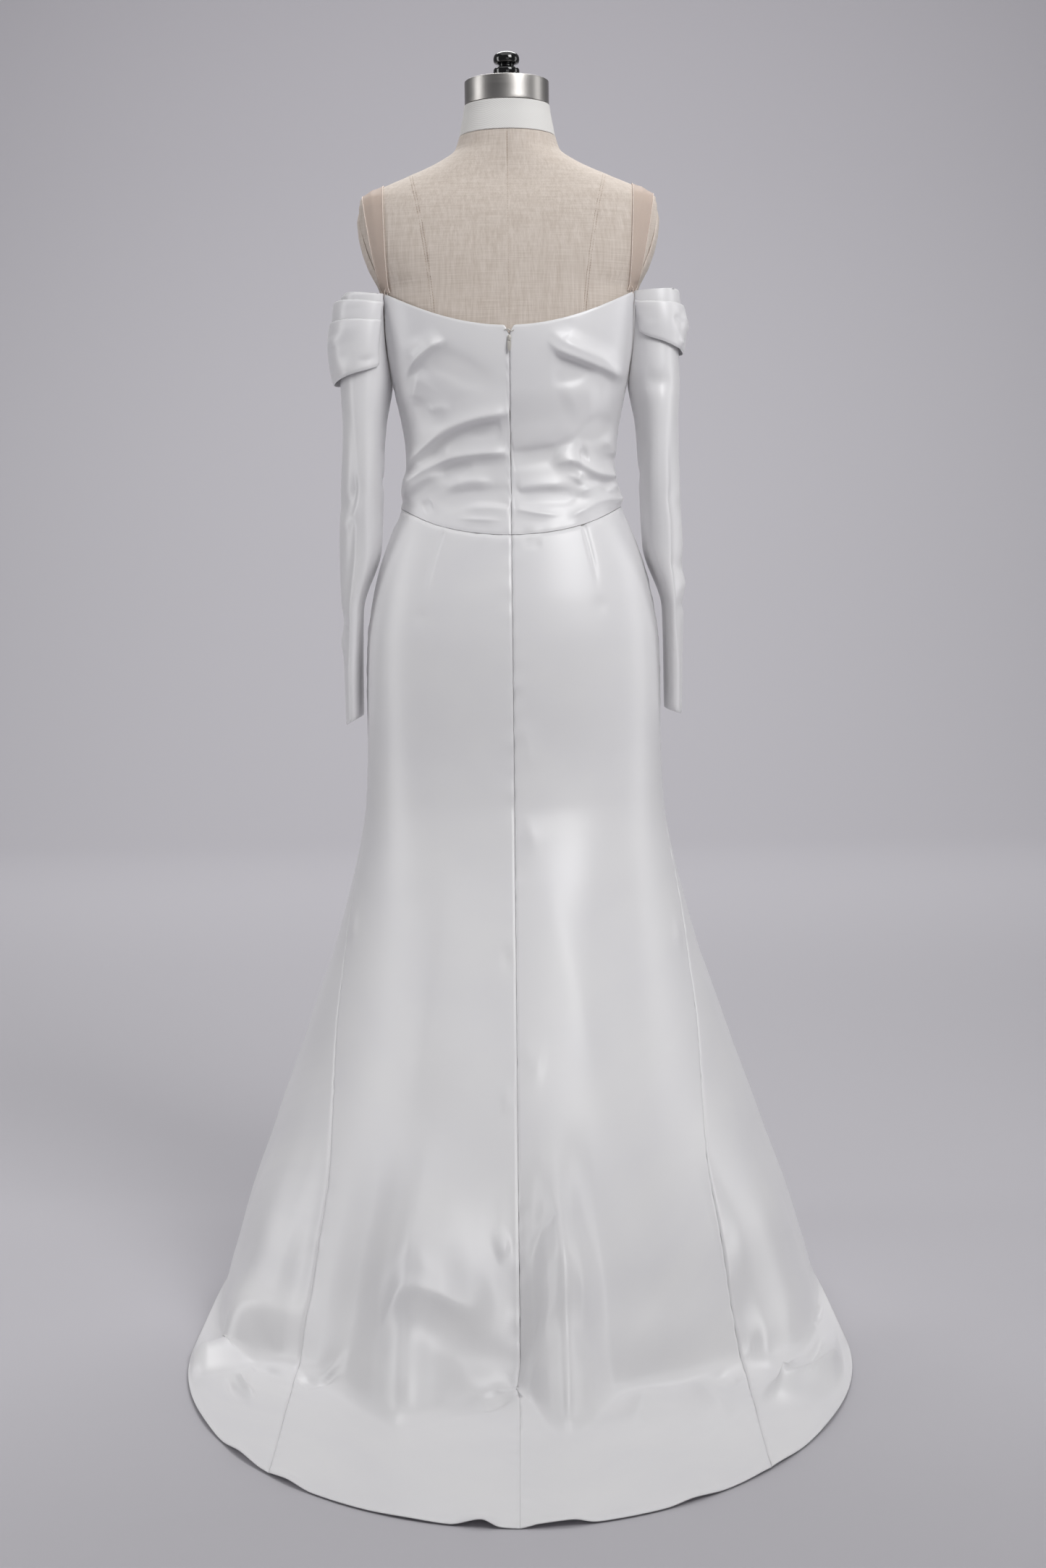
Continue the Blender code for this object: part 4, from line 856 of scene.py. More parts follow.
# Pleats of the bodice's back, as lines of (x, z) seen from behind. The left side is to the left of a line's run.
BACK_PLEATS = [
    Crease(((-0.078, 1.180), (-0.090, 1.171), (-0.104, 1.160), (-0.117, 1.147), (-0.129, 1.131)), 0.0058, 0.0028, 0.0100, 0.25, 0.4),
    Crease(((-0.100, 1.176), (-0.113, 1.169), (-0.125, 1.155)), 0.0016, 0.0090, 0.0075),
    Crease(((-0.106, 1.159), (-0.075, 1.148), (-0.045, 1.133), (-0.014, 1.123)), -0.0034, 0.0130, 0.0120, 0.25, 0.5),
    Crease(((-0.120, 1.100), (-0.112, 1.128), (-0.100, 1.142)), 0.0030, 0.0130, 0.0130),
    Crease(((-0.132, 1.022), (-0.104, 1.049), (-0.076, 1.070), (-0.040, 1.083), (0.000, 1.089)), 0.0060, 0.0130, 0.0067, 0.2, 0.02),
    Crease(((-0.112, 1.030), (-0.084, 1.053), (-0.052, 1.068), (-0.010, 1.076)), -0.0036, 0.0060, 0.0120, 0.2, 0.1),
    Crease(((-0.103, 1.092), (-0.090, 1.097), (-0.070, 1.096)), 0.0018, 0.0075, 0.0090),
    Crease(((-0.090, 1.040), (-0.070, 1.055), (-0.053, 1.062), (-0.030, 1.062)), 0.0026, 0.0075, 0.0120, 0.3, 0.5),
    Crease(((-0.137, 0.996), (-0.102, 1.021), (-0.071, 1.035), (-0.034, 1.040), (0.000, 1.040)), 0.0052, 0.0130, 0.0060, 0.15, 0.05),
    Crease(((-0.098, 1.010), (-0.072, 1.024), (-0.044, 1.026)), -0.0034, 0.0060, 0.0120),
    Crease(((-0.138, 0.986), (-0.111, 1.006), (-0.083, 1.017), (-0.064, 1.018)), 0.0036, 0.0120, 0.0075, 0.15, 0.4),
    Crease(((-0.083, 0.998), (-0.052, 1.006), (-0.018, 1.004)), 0.0026, 0.0090, 0.0105),
    Crease(((-0.096, 0.977), (-0.060, 0.988), (-0.030, 0.989), (0.000, 0.986)), -0.0034, 0.0090, 0.0105, 0.3, 0.05),
    Crease(((-0.060, 0.972), (-0.030, 0.974), (0.000, 0.972)), 0.0018, 0.0090, 0.0090, 0.4, 0.1),
    Crease(((-0.070, 0.962), (-0.040, 0.959), (-0.008, 0.958)), 0.0012, 0.0050, 0.0040, 0.4, 0.4),
    Crease(((-0.112, 0.975), (-0.096, 0.981)), -0.0022, 0.0060, 0.0075),
    Crease(((0.047, 1.190), (0.062, 1.176), (0.086, 1.165), (0.111, 1.155), (0.129, 1.141), (0.142, 1.128)), 0.0030, 0.0090, 0.0120, 0.3, 0.15),
    Crease(((0.046, 1.179), (0.058, 1.163), (0.086, 1.151), (0.113, 1.142), (0.134, 1.131)), 0.0036, 0.0130, 0.0026, 0.3, 0.15),
    Crease(((0.050, 1.158), (0.068, 1.150), (0.086, 1.145), (0.108, 1.136)), -0.0028, 0.0045, 0.0130),
    Crease(((0.048, 1.129), (0.074, 1.131), (0.090, 1.141)), -0.0020, 0.0105, 0.0090),
    Crease(((0.060, 1.100), (0.090, 1.112), (0.112, 1.114)), 0.0014, 0.0220, 0.0240),
    Crease(((0.002, 1.034), (0.044, 1.039), (0.071, 1.051), (0.101, 1.065), (0.130, 1.087)), -0.0050, 0.0130, 0.0090, 0.02, 0.25),
    Crease(((0.002, 1.044), (0.044, 1.050), (0.078, 1.063), (0.104, 1.080)), 0.0026, 0.0140, 0.0090, 0.02, 0.4),
    Crease(((0.044, 1.030), (0.070, 1.047), (0.087, 1.055), (0.104, 1.047)), 0.0042, 0.0090, 0.0105, 0.3, 0.4),
    Crease(((0.082, 1.038), (0.096, 1.040)), -0.0030, 0.0075, 0.0090),
    Crease(((0.112, 1.062), (0.122, 1.050), (0.126, 1.034)), 0.0026, 0.0090, 0.0090),
    Crease(((0.050, 1.026), (0.076, 1.030), (0.103, 1.016), (0.132, 1.012)), 0.0044, 0.0105, 0.0053, 0.3, 0.1),
    Crease(((0.086, 1.013), (0.108, 1.006), (0.130, 1.003)), -0.0030, 0.0053, 0.0090),
    Crease(((0.089, 1.019), (0.079, 1.003)), 0.0022, 0.0075, 0.0075),
    Crease(((0.079, 0.988), (0.103, 1.001), (0.120, 0.996)), 0.0030, 0.0075, 0.0075),
    Crease(((0.118, 0.992), (0.132, 1.006)), 0.0022, 0.0060, 0.0060),
    Crease(((0.002, 0.986), (0.044, 0.988), (0.085, 0.987)), -0.0038, 0.0090, 0.0090, 0.02, 0.3),
    Crease(((0.006, 0.997), (0.050, 1.000), (0.080, 0.998)), 0.0020, 0.0105, 0.0090, 0.1, 0.4),
    Crease(((0.004, 0.972), (0.034, 0.966), (0.066, 0.964)), 0.0018, 0.0060, 0.0045, 0.1, 0.5),
    Crease(((0.140, 0.986), (0.110, 0.982), (0.089, 0.970), (0.066, 0.959)), 0.0026, 0.0075, 0.0090, 0.05, 0.3),
]

# Similar pleats on the bodice's front, as lines of (x, z) in the frame. They fan down from the bust to the waist.
FRONT_PLEATS = [
    Crease(((side * 0.132, 1.120), (side * 0.100, 1.098), (side * 0.060, 1.075), (side * 0.012, 1.066)), 0.0040, wide, thin, 0.2, 0.1)
    for side, wide, thin in ((1, 0.005, 0.012), (-1, 0.012, 0.005))
] + [
    Crease(((-0.130, 1.060), (-0.095, 1.048), (-0.050, 1.030), (0.000, 1.024)), 0.0042, 0.010, 0.004, 0.1, 0.3),
    Crease(((0.132, 1.052), (0.098, 1.036), (0.052, 1.018), (0.012, 1.012)), 0.0042, 0.004, 0.010, 0.1, 0.3),
    Crease(((-0.133, 1.018), (-0.092, 1.010), (-0.050, 0.998), (0.010, 0.994)), 0.0036, 0.008, 0.004, 0.1, 0.4),
    Crease(((0.134, 1.012), (0.096, 1.002), (0.060, 0.988), (0.020, 0.982)), 0.0036, 0.004, 0.008, 0.1, 0.4),
    Crease(((-0.110, 0.992), (-0.066, 0.982), (-0.020, 0.976)), -0.0026, 0.006, 0.006),
    Crease(((0.106, 0.984), (0.070, 0.974), (0.030, 0.966)), -0.0024, 0.006, 0.006),
    Crease(((-0.120, 1.150), (-0.090, 1.130), (-0.050, 1.120)), 0.0022, 0.010, 0.006),
    Crease(((0.118, 1.156), (0.086, 1.138), (0.052, 1.130)), 0.0022, 0.006, 0.010),
    Crease(((-0.060, 1.055), (-0.020, 1.046), (0.030, 1.048)), -0.0024, 0.007, 0.007),
]


@dataclass
class Bodice:
    """The fitted bodice: two back panels on each side of the zip, and a front."""

    columns: int = 138
    front_columns: int = 160
    rows: int = 150
    front_rows: int = 110
    pleat_height: float = 1.7
    front_pleat_height: float = 1.1
    trough_limit: float = 0.0024
    trough_limit_at_zip: float = 0.0006
    zip_stiffness: float = 0.6

    def grid(self, angle: Array, rows: int) -> ClothSheet:
        """The plain panel between its top edge and the waist seam, over the stated angles."""
        share = gathered_ends(rows, 0.55)[:, None]
        top, seam = top_edge_z(angle)[None, :], waist_seam_z(angle)[None, :] + SEAM_GAP / 2
        return ClothSheet(GARMENT.point(angle[None, :], top + (seam - top) * share))

    def panel(self, name: str, sheet: ClothSheet, pleats: list[Crease], seams: list[SeamEdge], satin) -> bpy.types.Object:
        """Lays the pleats in a panel and makes its wall.

        Args:
            name: The panel's name.
            sheet: The plain panel.
            pleats: Its pleats and folds.
            seams: How its edges are sewn.
            satin: Its material.

        Returns:
            The finished panel.
        """
        places = sheet.points[..., [0, 2]]
        scale = self.front_pleat_height if "front" in name else self.pleat_height
        height = scale * sum(pleat.height_at(places, Measure()) for pleat in pleats)
        ends = smooth_step(sheet.edge_distance(Edge.TOP) / 0.012) * smooth_step(sheet.edge_distance(Edge.BOTTOM) / 0.008)
        side = Edge.RIGHT if "right" in name else Edge.LEFT
        zip_near = np.exp(-((sheet.points[..., 0] / 0.013) ** 2)) * (sheet.points[..., 1] < 0)
        limit = self.trough_limit - (self.trough_limit - self.trough_limit_at_zip) * zip_near
        ridge = height * (1 - self.zip_stiffness * zip_near)
        height = np.where(height < 0, -limit * np.tanh(-height / limit), ridge)
        seam = smooth_step(sheet.edge_distance(side) / 0.014)
        if "front" in name:
            seam = seam * smooth_step(sheet.edge_distance(Edge.RIGHT) / 0.014)
        sheet.raised(height * ends * (0.35 + 0.65 * seam))
        sheet.drawn_in({edge: SEAM_DRAW for edge in Edge})
        sheet.finish_edges(seams)
        return sheet.walled(name + "_cloth", SATIN_THICKNESS, satin)

    def build(self, finishes: Finishes) -> None:
        """Makes the three panels."""
        half = gathered_ends(self.columns, 0.45) * math.pi / 2
        waist = SeamEdge(Edge.BOTTOM, 0.0005, 0.0022, 0.0004, 0.007, 0.024, 0.7)
        edge = SeamEdge(Edge.TOP, 0.0006, 0.0016, 0.00018, 0.006, 0.036, 0.2)
        for name, side in (("bodice_back_left", -1), ("bodice_back_right", 1)):
            angle = np.sort(side * half)
            zip_edge, side_edge = (Edge.RIGHT, Edge.LEFT) if side < 0 else (Edge.LEFT, Edge.RIGHT)
            seams = [
                waist,
                edge,
                SeamEdge(zip_edge, 0.0010, 0.0014, 0.00035, 0.008, 0.019, 1.0 + side),
                SeamEdge(side_edge, 0.0005, 0.0015, 0.0003, 0.008, 0.017, 2.0 + side),
            ]
            piece = self.panel(name, self.grid(angle, self.rows), BACK_PLEATS, seams, finishes.satin)
            dress_piece(piece, [name])
        angle = math.pi / 2 + gathered_ends(self.front_columns, 0.30) * math.pi
        seams = [waist, edge, SeamEdge(Edge.LEFT, 0.0005, pucker=0.0003), SeamEdge(Edge.RIGHT, 0.0005, pucker=0.0003)]
        piece = self.panel("bodice_front", self.grid(angle, self.front_rows), FRONT_PLEATS, seams, finishes.satin)
        dress_piece(piece, ["bodice_front"])


# How much further out than on the plain form the skirt's wall meets the floor, by degrees from the centre back.
# The two far places, at -20 and 8 degrees, are the tips of the cone-shaped flutes of the train.
FOOT_REACH = {
    -180.0: 0.000, -84.0: 0.010, -72.0: 0.050, -62.0: 0.060, -54.0: 0.030, -47.0: -0.005, -40.0: -0.010,
    -32.0: 0.015, -25.0: 0.066, -20.5: 0.088, -15.0: 0.062, -9.0: 0.018, -4.0: -0.014, -0.5: -0.026,
    2.5: 0.010, 5.5: 0.068, 8.0: 0.092, 10.5: 0.074, 14.0: 0.014, 17.0: -0.022, 22.0: -0.036, 30.0: -0.026,
    37.0: -0.018, 43.0: 0.000, 50.0: 0.050, 58.0: 0.070, 68.0: 0.050, 80.0: 0.008, 180.0: 0.000,
}
FOOT_REACH_HEIGHT = 0.300

# Folds of the skirt and train, as lines of (degrees from the centre back, level).
SKIRT_FOLDS = [
    Crease(((-41.0, 0.100), (-45.2, 0.071), (-52.5, 0.035), (-60.0, -0.020), (-66.0, -0.110), (-76.0, -0.220), (-86.0, -0.320)), 0.0180, 0.040, 0.026, 0.25, 0.35),
    Crease(((-43.0, 0.030), (-52.8, -0.030), (-59.5, -0.110), (-66.2, -0.185), (-76.0, -0.300)), -0.0060, 0.012, 0.020, 0.2, 0.2),
    Crease(((-54.5, -0.080), (-50.0, -0.045), (-45.8, -0.030)), -0.0050, 0.010, 0.010),
    Crease(((-61.0, -0.170), (-55.5, -0.176), (-51.0, -0.185)), -0.0060, 0.011, 0.012),
    Crease(((-58.0, -0.120), (-54.0, -0.140), (-50.0, -0.145)), 0.0070, 0.009, 0.009),
    Crease(((-41.0, -0.040), (-36.8, -0.010), (-32.5, 0.006)), -0.0080, 0.012, 0.006, 0.1, 0.4),
    Crease(((-39.0, -0.020), (-35.0, 0.012), (-31.0, 0.030)), 0.0060, 0.012, 0.008, 0.2, 0.5),
    Crease(((-1.0, 0.036), (-6.0, 0.012), (-13.0, -0.040)), 0.0055, 0.008, 0.014, 0.2, 0.4),
    Crease(((-1.0, 0.070), (0.0, 0.010), (0.5, -0.040), (1.0, -0.090)), 0.0130, 0.030, 0.024, 0.3, 0.5),
    Crease(((-0.6, 0.020), (0.6, -0.006)), -0.0040, 0.005, 0.005),
    Crease(((-7.0, -0.022), (-3.5, -0.008), (-0.8, 0.004)), -0.0045, 0.008, 0.006),
    Crease(((-5.0, 0.130), (-9.0, 0.088), (-15.5, 0.056), (-22.0, 0.026), (-26.5, 0.004)), 0.0060, 0.022, 0.014, 0.3, 0.3),
    Crease(((13.0, 0.160), (11.0, 0.060), (9.5, 0.010)), 0.0040, 0.014, 0.016),
    Crease(((23.0, 0.034), (21.2, -0.010), (19.2, -0.110)), 0.0070, 0.020, 0.022),
    Crease(((31.8, 0.020), (33.8, -0.060), (37.5, -0.150)), 0.0070, 0.022, 0.020),
    Crease(((28.5, -0.145), (33.0, -0.175)), -0.0040, 0.012, 0.012),
    Crease(((35.5, 0.012), (40.5, -0.050)), -0.0050, 0.012, 0.012),
    Crease(((47.0, -0.100), (51.0, -0.150), (58.0, -0.188), (66.0, -0.215), (75.0, -0.250)), 0.0240, 0.038, 0.022, 0.2, 0.25),
    Crease(((50.0, -0.143), (54.0, -0.100), (57.5, -0.080)), 0.0090, 0.006, 0.008, 0.05, 0.5),
    Crease(((52.0, -0.125), (61.0, -0.120), (71.0, -0.110)), -0.0080, 0.012, 0.012, 0.1, 0.3),
    Crease(((68.0, -0.040), (80.0, -0.060)), -0.0050, 0.012, 0.010),
    Crease(((-21.0, 0.560), (-23.0, 0.420), (-26.0, 0.250)), 0.0040, 0.040, 0.040),
    Crease(((-9.0, 0.640), (-8.0, 0.450), (-6.0, 0.240)), -0.0024, 0.030, 0.030),
    Crease(((9.0, 0.560), (14.0, 0.450), (20.0, 0.300)), 0.0030, 0.034, 0.040),
    Crease(((34.0, 0.600), (30.0, 0.400), (28.0, 0.220)), -0.0030, 0.030, 0.030),
    Crease(((-31.0, 0.950), (-33.5, 0.905), (-35.0, 0.858)), -0.0022, 0.0018, 0.0040, 0.02, 0.5),
    Crease(((34.0, 0.956), (34.5, 0.915), (35.2, 0.872)), -0.0022, 0.0040, 0.0018, 0.02, 0.5),
    Crease(((-36.5, 0.852), (-36.0, 0.830)), -0.0010, 0.008, 0.008),
    Crease(((35.5, 0.866), (36.0, 0.842)), -0.0010, 0.008, 0.008),
    Crease(((2.5, 0.933), (12.5, 0.931)), -0.0014, 0.003, 0.004),
    Crease(((1.0, 0.720), (4.0, 0.690), (5.0, 0.650)), 0.0012, 0.008, 0.012),
    Crease(((2.0, 0.600), (7.0, 0.560)), 0.0016, 0.010, 0.012),
    Crease(((-1.0, 0.420), (-3.5, 0.450)), -0.0016, 0.006, 0.006),
    Crease(((1.0, 0.350), (4.0, 0.335), (8.0, 0.330)), 0.0030, 0.008, 0.014),
    Crease(((-1.0, 0.300), (-4.0, 0.290)), 0.0020, 0.006, 0.008),
    Crease(((-1.5, 0.165), (-4.5, 0.150)), 0.0026, 0.006, 0.008),
    Crease(((2.0, 0.150), (8.0, 0.135)), -0.0022, 0.008, 0.010),
    Crease(((60.0, 0.460), (66.0, 0.440)), 0.0020, 0.006, 0.008),
    Crease(((-62.0, 0.470), (-68.0, 0.450)), 0.0020, 0.006, 0.008),
    Crease(((-100.0, 0.560), (-99.0, 0.260), (-97.0, -0.060)), 0.0080, 0.050, 0.040),
    Crease(((102.0, 0.540), (100.0, 0.240), (98.0, -0.080)), 0.0080, 0.040, 0.050),
    Crease(((-142.0, 0.620), (-143.0, 0.300), (-144.0, -0.120)), 0.0100, 0.050, 0.040),
    Crease(((140.0, 0.580), (141.0, 0.260), (139.0, -0.140)), 0.0100, 0.040, 0.050),
    Crease(((176.0, 0.560), (178.0, 0.240), (180.0, -0.140)), 0.0060, 0.045, 0.045),
    Crease(((-121.0, 0.420), (-120.0, 0.160)), -0.0050, 0.030, 0.035),
    Crease(((121.0, 0.440), (119.0, 0.180)), -0.0050, 0.035, 0.030),
]

# Where the hem's edge lifts off the floor, by degrees from the centre back, in metres.
HEM_LIFT = {
    -180.0: 0.0, -75.0: 0.001, -62.0: 0.003, -55.0: 0.001, -49.0: 0.006, -43.0: 0.002, -38.0: 0.005, -33.0: 0.001,
    -24.0: 0.001, -17.0: 0.002, -11.0: 0.001, -6.0: 0.008, -3.0: 0.001, 0.0: 0.000, 3.0: 0.004, 8.0: 0.006,
    12.0: 0.001, 22.0: 0.001, 27.0: 0.004, 33.0: 0.001, 44.0: 0.003, 50.0: 0.001, 60.0: 0.003, 75.0: 0.001, 180.0: 0.0,
}


@dataclass
class Skirt:
    """The trumpet skirt and its sweep train: two back panels with a dart each, and a front that wraps round."""

    columns: int = 118
    front_columns: int = 174
    scale: SkirtMeasure = field(default_factory=SkirtMeasure)

    def levels(self) -> Array:
        """Levels of the rows at the centre back, closer together where the cloth meets the floor."""
        hip = np.linspace(WAIST_SEAM_BACK_Z - SEAM_GAP / 2, 0.60, 60)
        knee = np.linspace(0.60, 0.20, 44)[1:]
        foot = np.linspace(0.20, -0.18, 72)[1:]
        hem = HEM_LEVEL + (foot[-1] - HEM_LEVEL) * np.linspace(1, 0, 30)[1:] ** 1.3
        return np.concatenate([hip, knee, foot, hem])

    def grid(self, share: Array, front: bool, side: int = 1) -> ClothSheet:
        """A panel's outer face with every fold of the skirt in it.

        Args:
            share: Places across the panel, from 0 to 1.
            front: True for the front panel.
            side: 1 for the right back panel and -1 for the left one.

        Returns:
            The sheet.
        """
        levels = self.levels()
        seam = smooth_value(sorted(SIDE_SEAM), [SIDE_SEAM[key] for key in sorted(SIDE_SEAM)], levels)[:, None]
        degrees = seam + (360.0 - 2 * seam) * share if front else side * seam * share
        angle = np.radians(degrees)
        fade = np.clip((levels - 0.80) / (levels[0] - 0.80), 0, 1)[:, None] ** 1.5
        level = levels[:, None] + (waist_seam_z(angle) - WAIST_SEAM_BACK_Z) * fade
        points = GARMENT.point(angle, level)
        round_degrees = (degrees + 180.0) % 360.0 - 180.0
        reach = smooth_value(list(FOOT_REACH), list(FOOT_REACH.values()), round_degrees)
        raised = GARMENT.point(angle, level + reach * smooth_step(1 - level / FOOT_REACH_HEIGHT))
        points[..., 2] = raised[..., 2]
        sheet = ClothSheet(points, floor=True)
        across, up = self.scale.metres(round_degrees, level)
        places = np.stack([across, up], axis=-1)
        sheet.raised(sum(fold.height_at(places, self.scale) for fold in SKIRT_FOLDS))
        lift = smooth_value(list(HEM_LIFT), list(HEM_LIFT.values()), round_degrees)
        curl = np.exp(-(((level - HEM_LEVEL) / 0.020) ** 2))
        sheet.points[..., 2] += lift * curl
        return sheet

    def keep_on_floor(self, sheet: ClothSheet) -> None:
        """Keeps the cloth just above the floor."""
        low = SATIN_THICKNESS + 0.0005
        z = sheet.points[..., 2]
        sheet.points[..., 2] = low + np.logaddexp(0.0, (z - low) / 0.0006) * 0.0006

    def build(self, finishes: Finishes) -> None:
        """Makes the three panels."""
        waist = SeamEdge(Edge.TOP, 0.0009, 0.0020, 0.0003, 0.007, 0.027, 1.9)
        hem = SeamEdge(Edge.BOTTOM, 0.0004, 0.0016)
        for name, side in (("skirt_back_left", -1), ("skirt_back_right", 1)):
            share = gathered_ends(self.columns, 0.55)
            share = share[::-1] if side < 0 else share
            sheet = self.grid(share[None, :], front=False, side=side)
            middle, outside = (Edge.RIGHT, Edge.LEFT) if side < 0 else (Edge.LEFT, Edge.RIGHT)
            sheet.drawn_in({edge: SEAM_DRAW for edge in Edge})
            seams = [
                waist,
                hem,
                SeamEdge(middle, 0.0010, 0.0018, 0.00055, 0.011, 0.031, 1.0 + side),
                SeamEdge(outside, 0.0007, 0.0018, 0.0005, 0.010, 0.026, 2.4 + side),
            ]
            sheet.finish_edges(seams)
            self.keep_on_floor(sheet)
            piece = sheet.walled(name + "_cloth", SATIN_THICKNESS, finishes.satin)
            dress_piece(piece, [name])
        sheet = self.grid(gathered_ends(self.front_columns, 0.45)[None, :], front=True)
        sheet.drawn_in({edge: SEAM_DRAW for edge in Edge})
        edges = [waist, hem]
        edges += [SeamEdge(edge, 0.0007, 0.0018, 0.0005, 0.010, 0.026, 0.8) for edge in (Edge.LEFT, Edge.RIGHT)]
        sheet.finish_edges(edges)
        self.keep_on_floor(sheet)
        piece = sheet.walled("skirt_front_cloth", SATIN_THICKNESS, finishes.satin)
        dress_piece(piece, ["skirt_front"])


@dataclass(frozen=True)
class SleeveRing:
    """A level section of the hanging sleeve. Distances in X are from the middle of the body."""

    level: float
    x_outer: float
    x_inner: float
    half_depth: float
    y_mid: float


SLEEVE_RINGS = [
    SleeveRing(0.712, 0.2140, 0.1920, 0.0560, 0.026),
    SleeveRing(0.780, 0.2150, 0.1915, 0.0580, 0.023),
    SleeveRing(0.849, 0.2140, 0.1900, 0.0600, 0.020),
    SleeveRing(0.927, 0.2150, 0.1655, 0.0620, 0.016),
    SleeveRing(1.000, 0.2120, 0.1615, 0.0630, 0.012),
    SleeveRing(1.080, 0.2110, 0.1575, 0.0610, 0.008),
    SleeveRing(1.131, 0.2130, 0.1515, 0.0580, 0.006),
    SleeveRing(1.190, 0.2110, 0.1535, 0.0530, 0.004),
    SleeveRing(1.245, 0.2070, 0.1530, 0.0480, 0.002),
]


@dataclass
class Sleeve:
    """A long plain sleeve that hangs empty from the armhole. Its turn is 0 towards the body, then to the back."""

    side: int
    columns: int = 92
    rows: int = 134
    folds: tuple[Crease, ...] = ()

    @property
    def name(self) -> str:
        """The sleeve's node."""
        return "sleeve_left" if self.side < 0 else "sleeve_right"

    def section(self, angle: Array, z: Array) -> Array:
        """Points of the level section at a height."""
        levels = [ring.level for ring in SLEEVE_RINGS]
        sizes = {
            key: smooth_value(levels, [getattr(ring, key) for ring in SLEEVE_RINGS], z)
            for key in ("x_outer", "x_inner", "half_depth", "y_mid")
        }
        middle, half = (sizes["x_outer"] + sizes["x_inner"]) / 2, (sizes["x_outer"] - sizes["x_inner"]) / 2
        x = middle - half * np.sign(np.cos(angle)) * np.abs(np.cos(angle)) ** 0.85
        y = sizes["y_mid"] - sizes["half_depth"] * np.sin(angle)
        return np.stack(np.broadcast_arrays(self.side * x, y, z), axis=-1)

    def armhole(self, angle: Array) -> Array:
        """The bodice's armhole edge, moved clear of its outer face, at a turn near the body."""
        turn = np.clip(np.degrees(angle) / ARMHOLE_TURN, -1.0, 1.0)
        body = np.radians(90.0 - turn * (90.0 - CORNER_ANGLE))
        return GARMENT.point(self.side * body, armhole_z(np.abs(turn)), grow=2 * SEAM_GAP)

    def top_z(self, angle: Array) -> Array:
        """Height of the sleeve's top edge."""
        turn = np.abs(np.degrees(angle)) / ARMHOLE_TURN
        free = self.free(angle)
        return armhole_z(turn) + 0.004 * np.sin(math.pi * free / 2)

    def free(self, angle: Array) -> Array:
        """Share of the way from the armhole's corner round to the outside of the arm."""
        return np.clip((np.abs(np.degrees(angle)) - ARMHOLE_TURN) / (180.0 - ARMHOLE_TURN), 0, 1)

    def point(self, angle: Array, share: Array) -> Array:
        """Points of the sleeve's outer face. The share is 0 at its top edge and 1 at its hem."""
        top = self.top_z(angle)
        z = top + (SLEEVE_HEM_Z - top) * share
        miss = self.armhole(angle) - self.section(angle, top)
        held = np.where(np.degrees(np.abs(angle)) <= ARMHOLE_TURN, 1.0, np.exp(-((self.free(angle) * 3.5) ** 2)))
        decay = np.clip(1 - share / 0.22, 0, 1) ** 2 * held
        return self.section(angle, z) + miss * decay[..., None]

    def build(self, finishes: Finishes) -> None:
        """Makes the sleeve."""
        angle = np.radians(np.arange(self.columns) * 360.0 / self.columns - 180.0)[None, :]
        share = np.linspace(0, 1, self.rows)[:, None] ** 1.1
        points = self.point(angle, share)
        sheet = ClothSheet(points[:, ::-1] if self.side < 0 else points, wrap=True)
        turn = np.degrees(angle) + 0 * share
        turn = turn[:, ::-1] if self.side < 0 else turn
        across, up = SleeveMeasure().metres(turn, sheet.points[..., 2])
        places = np.stack([across, up], axis=-1)
        height = sum(fold.height_at(places, SleeveMeasure()) for fold in self.folds)
        sheet.raised(height * smooth_step((1.20 - sheet.points[..., 2]) / 0.06))
        slant = 0.5 - 0.5 * np.cos(np.radians(turn))
        lift = np.where(self.side < 0, 0.005 - 0.011 * slant, 0.011 - 0.007 * slant)
        sheet.points[..., 2] += lift * smooth_step((share - 0.8) / 0.2)
        sheet.finish_edges([SeamEdge(Edge.BOTTOM, 0.0006, 0.003), SeamEdge(Edge.TOP, 0.0003, 0.002)])
        piece = sheet.walled(self.name + "_cloth", SATIN_THICKNESS, finishes.satin)
        dress_piece(piece, [self.name])


LEFT_SLEEVE_FOLDS = (
    Crease(((118.0, 1.130), (108.0, 1.000), (122.0, 0.880), (112.0, 0.760)), -0.0040, 0.012, 0.018),
    Crease(((66.0, 1.100), (80.0, 0.990), (66.0, 0.860), (74.0, 0.760)), 0.0034, 0.012, 0.018),
    Crease(((146.0, 1.100), (158.0, 0.960), (146.0, 0.780)), 0.0036, 0.020, 0.014),
    Crease(((174.0, 0.850), (138.0, 0.830), (96.0, 0.842)), -0.0032, 0.008, 0.012),
    Crease(((176.0, 0.826), (146.0, 0.808), (110.0, 0.800)), 0.0028, 0.012, 0.008),
    Crease(((90.0, 1.020), (130.0, 0.985), (172.0, 0.992)), -0.0028, 0.010, 0.014),
    Crease(((84.0, 0.985), (120.0, 0.962), (160.0, 0.950)), 0.0026, 0.012, 0.010),
    Crease(((-120.0, 1.110), (-108.0, 0.950), (-124.0, 0.780)), -0.0040, 0.016, 0.012),
    Crease(((-150.0, 1.090), (-158.0, 0.940), (-148.0, 0.780)), 0.0034, 0.016, 0.020),
    Crease(((-70.0, 1.060), (-82.0, 0.900), (-70.0, 0.760)), 0.0032, 0.014, 0.014),
    Crease(((-170.0, 0.960), (-130.0, 0.975), (-90.0, 0.955)), -0.0026, 0.012, 0.010),
    Crease(((-40.0, 1.020), (-20.0, 1.010), (30.0, 1.024)), -0.0024, 0.010, 0.008),
    Crease(((40.0, 1.060), (10.0, 1.050), (-20.0, 1.056)), -0.0018, 0.008, 0.008),
)
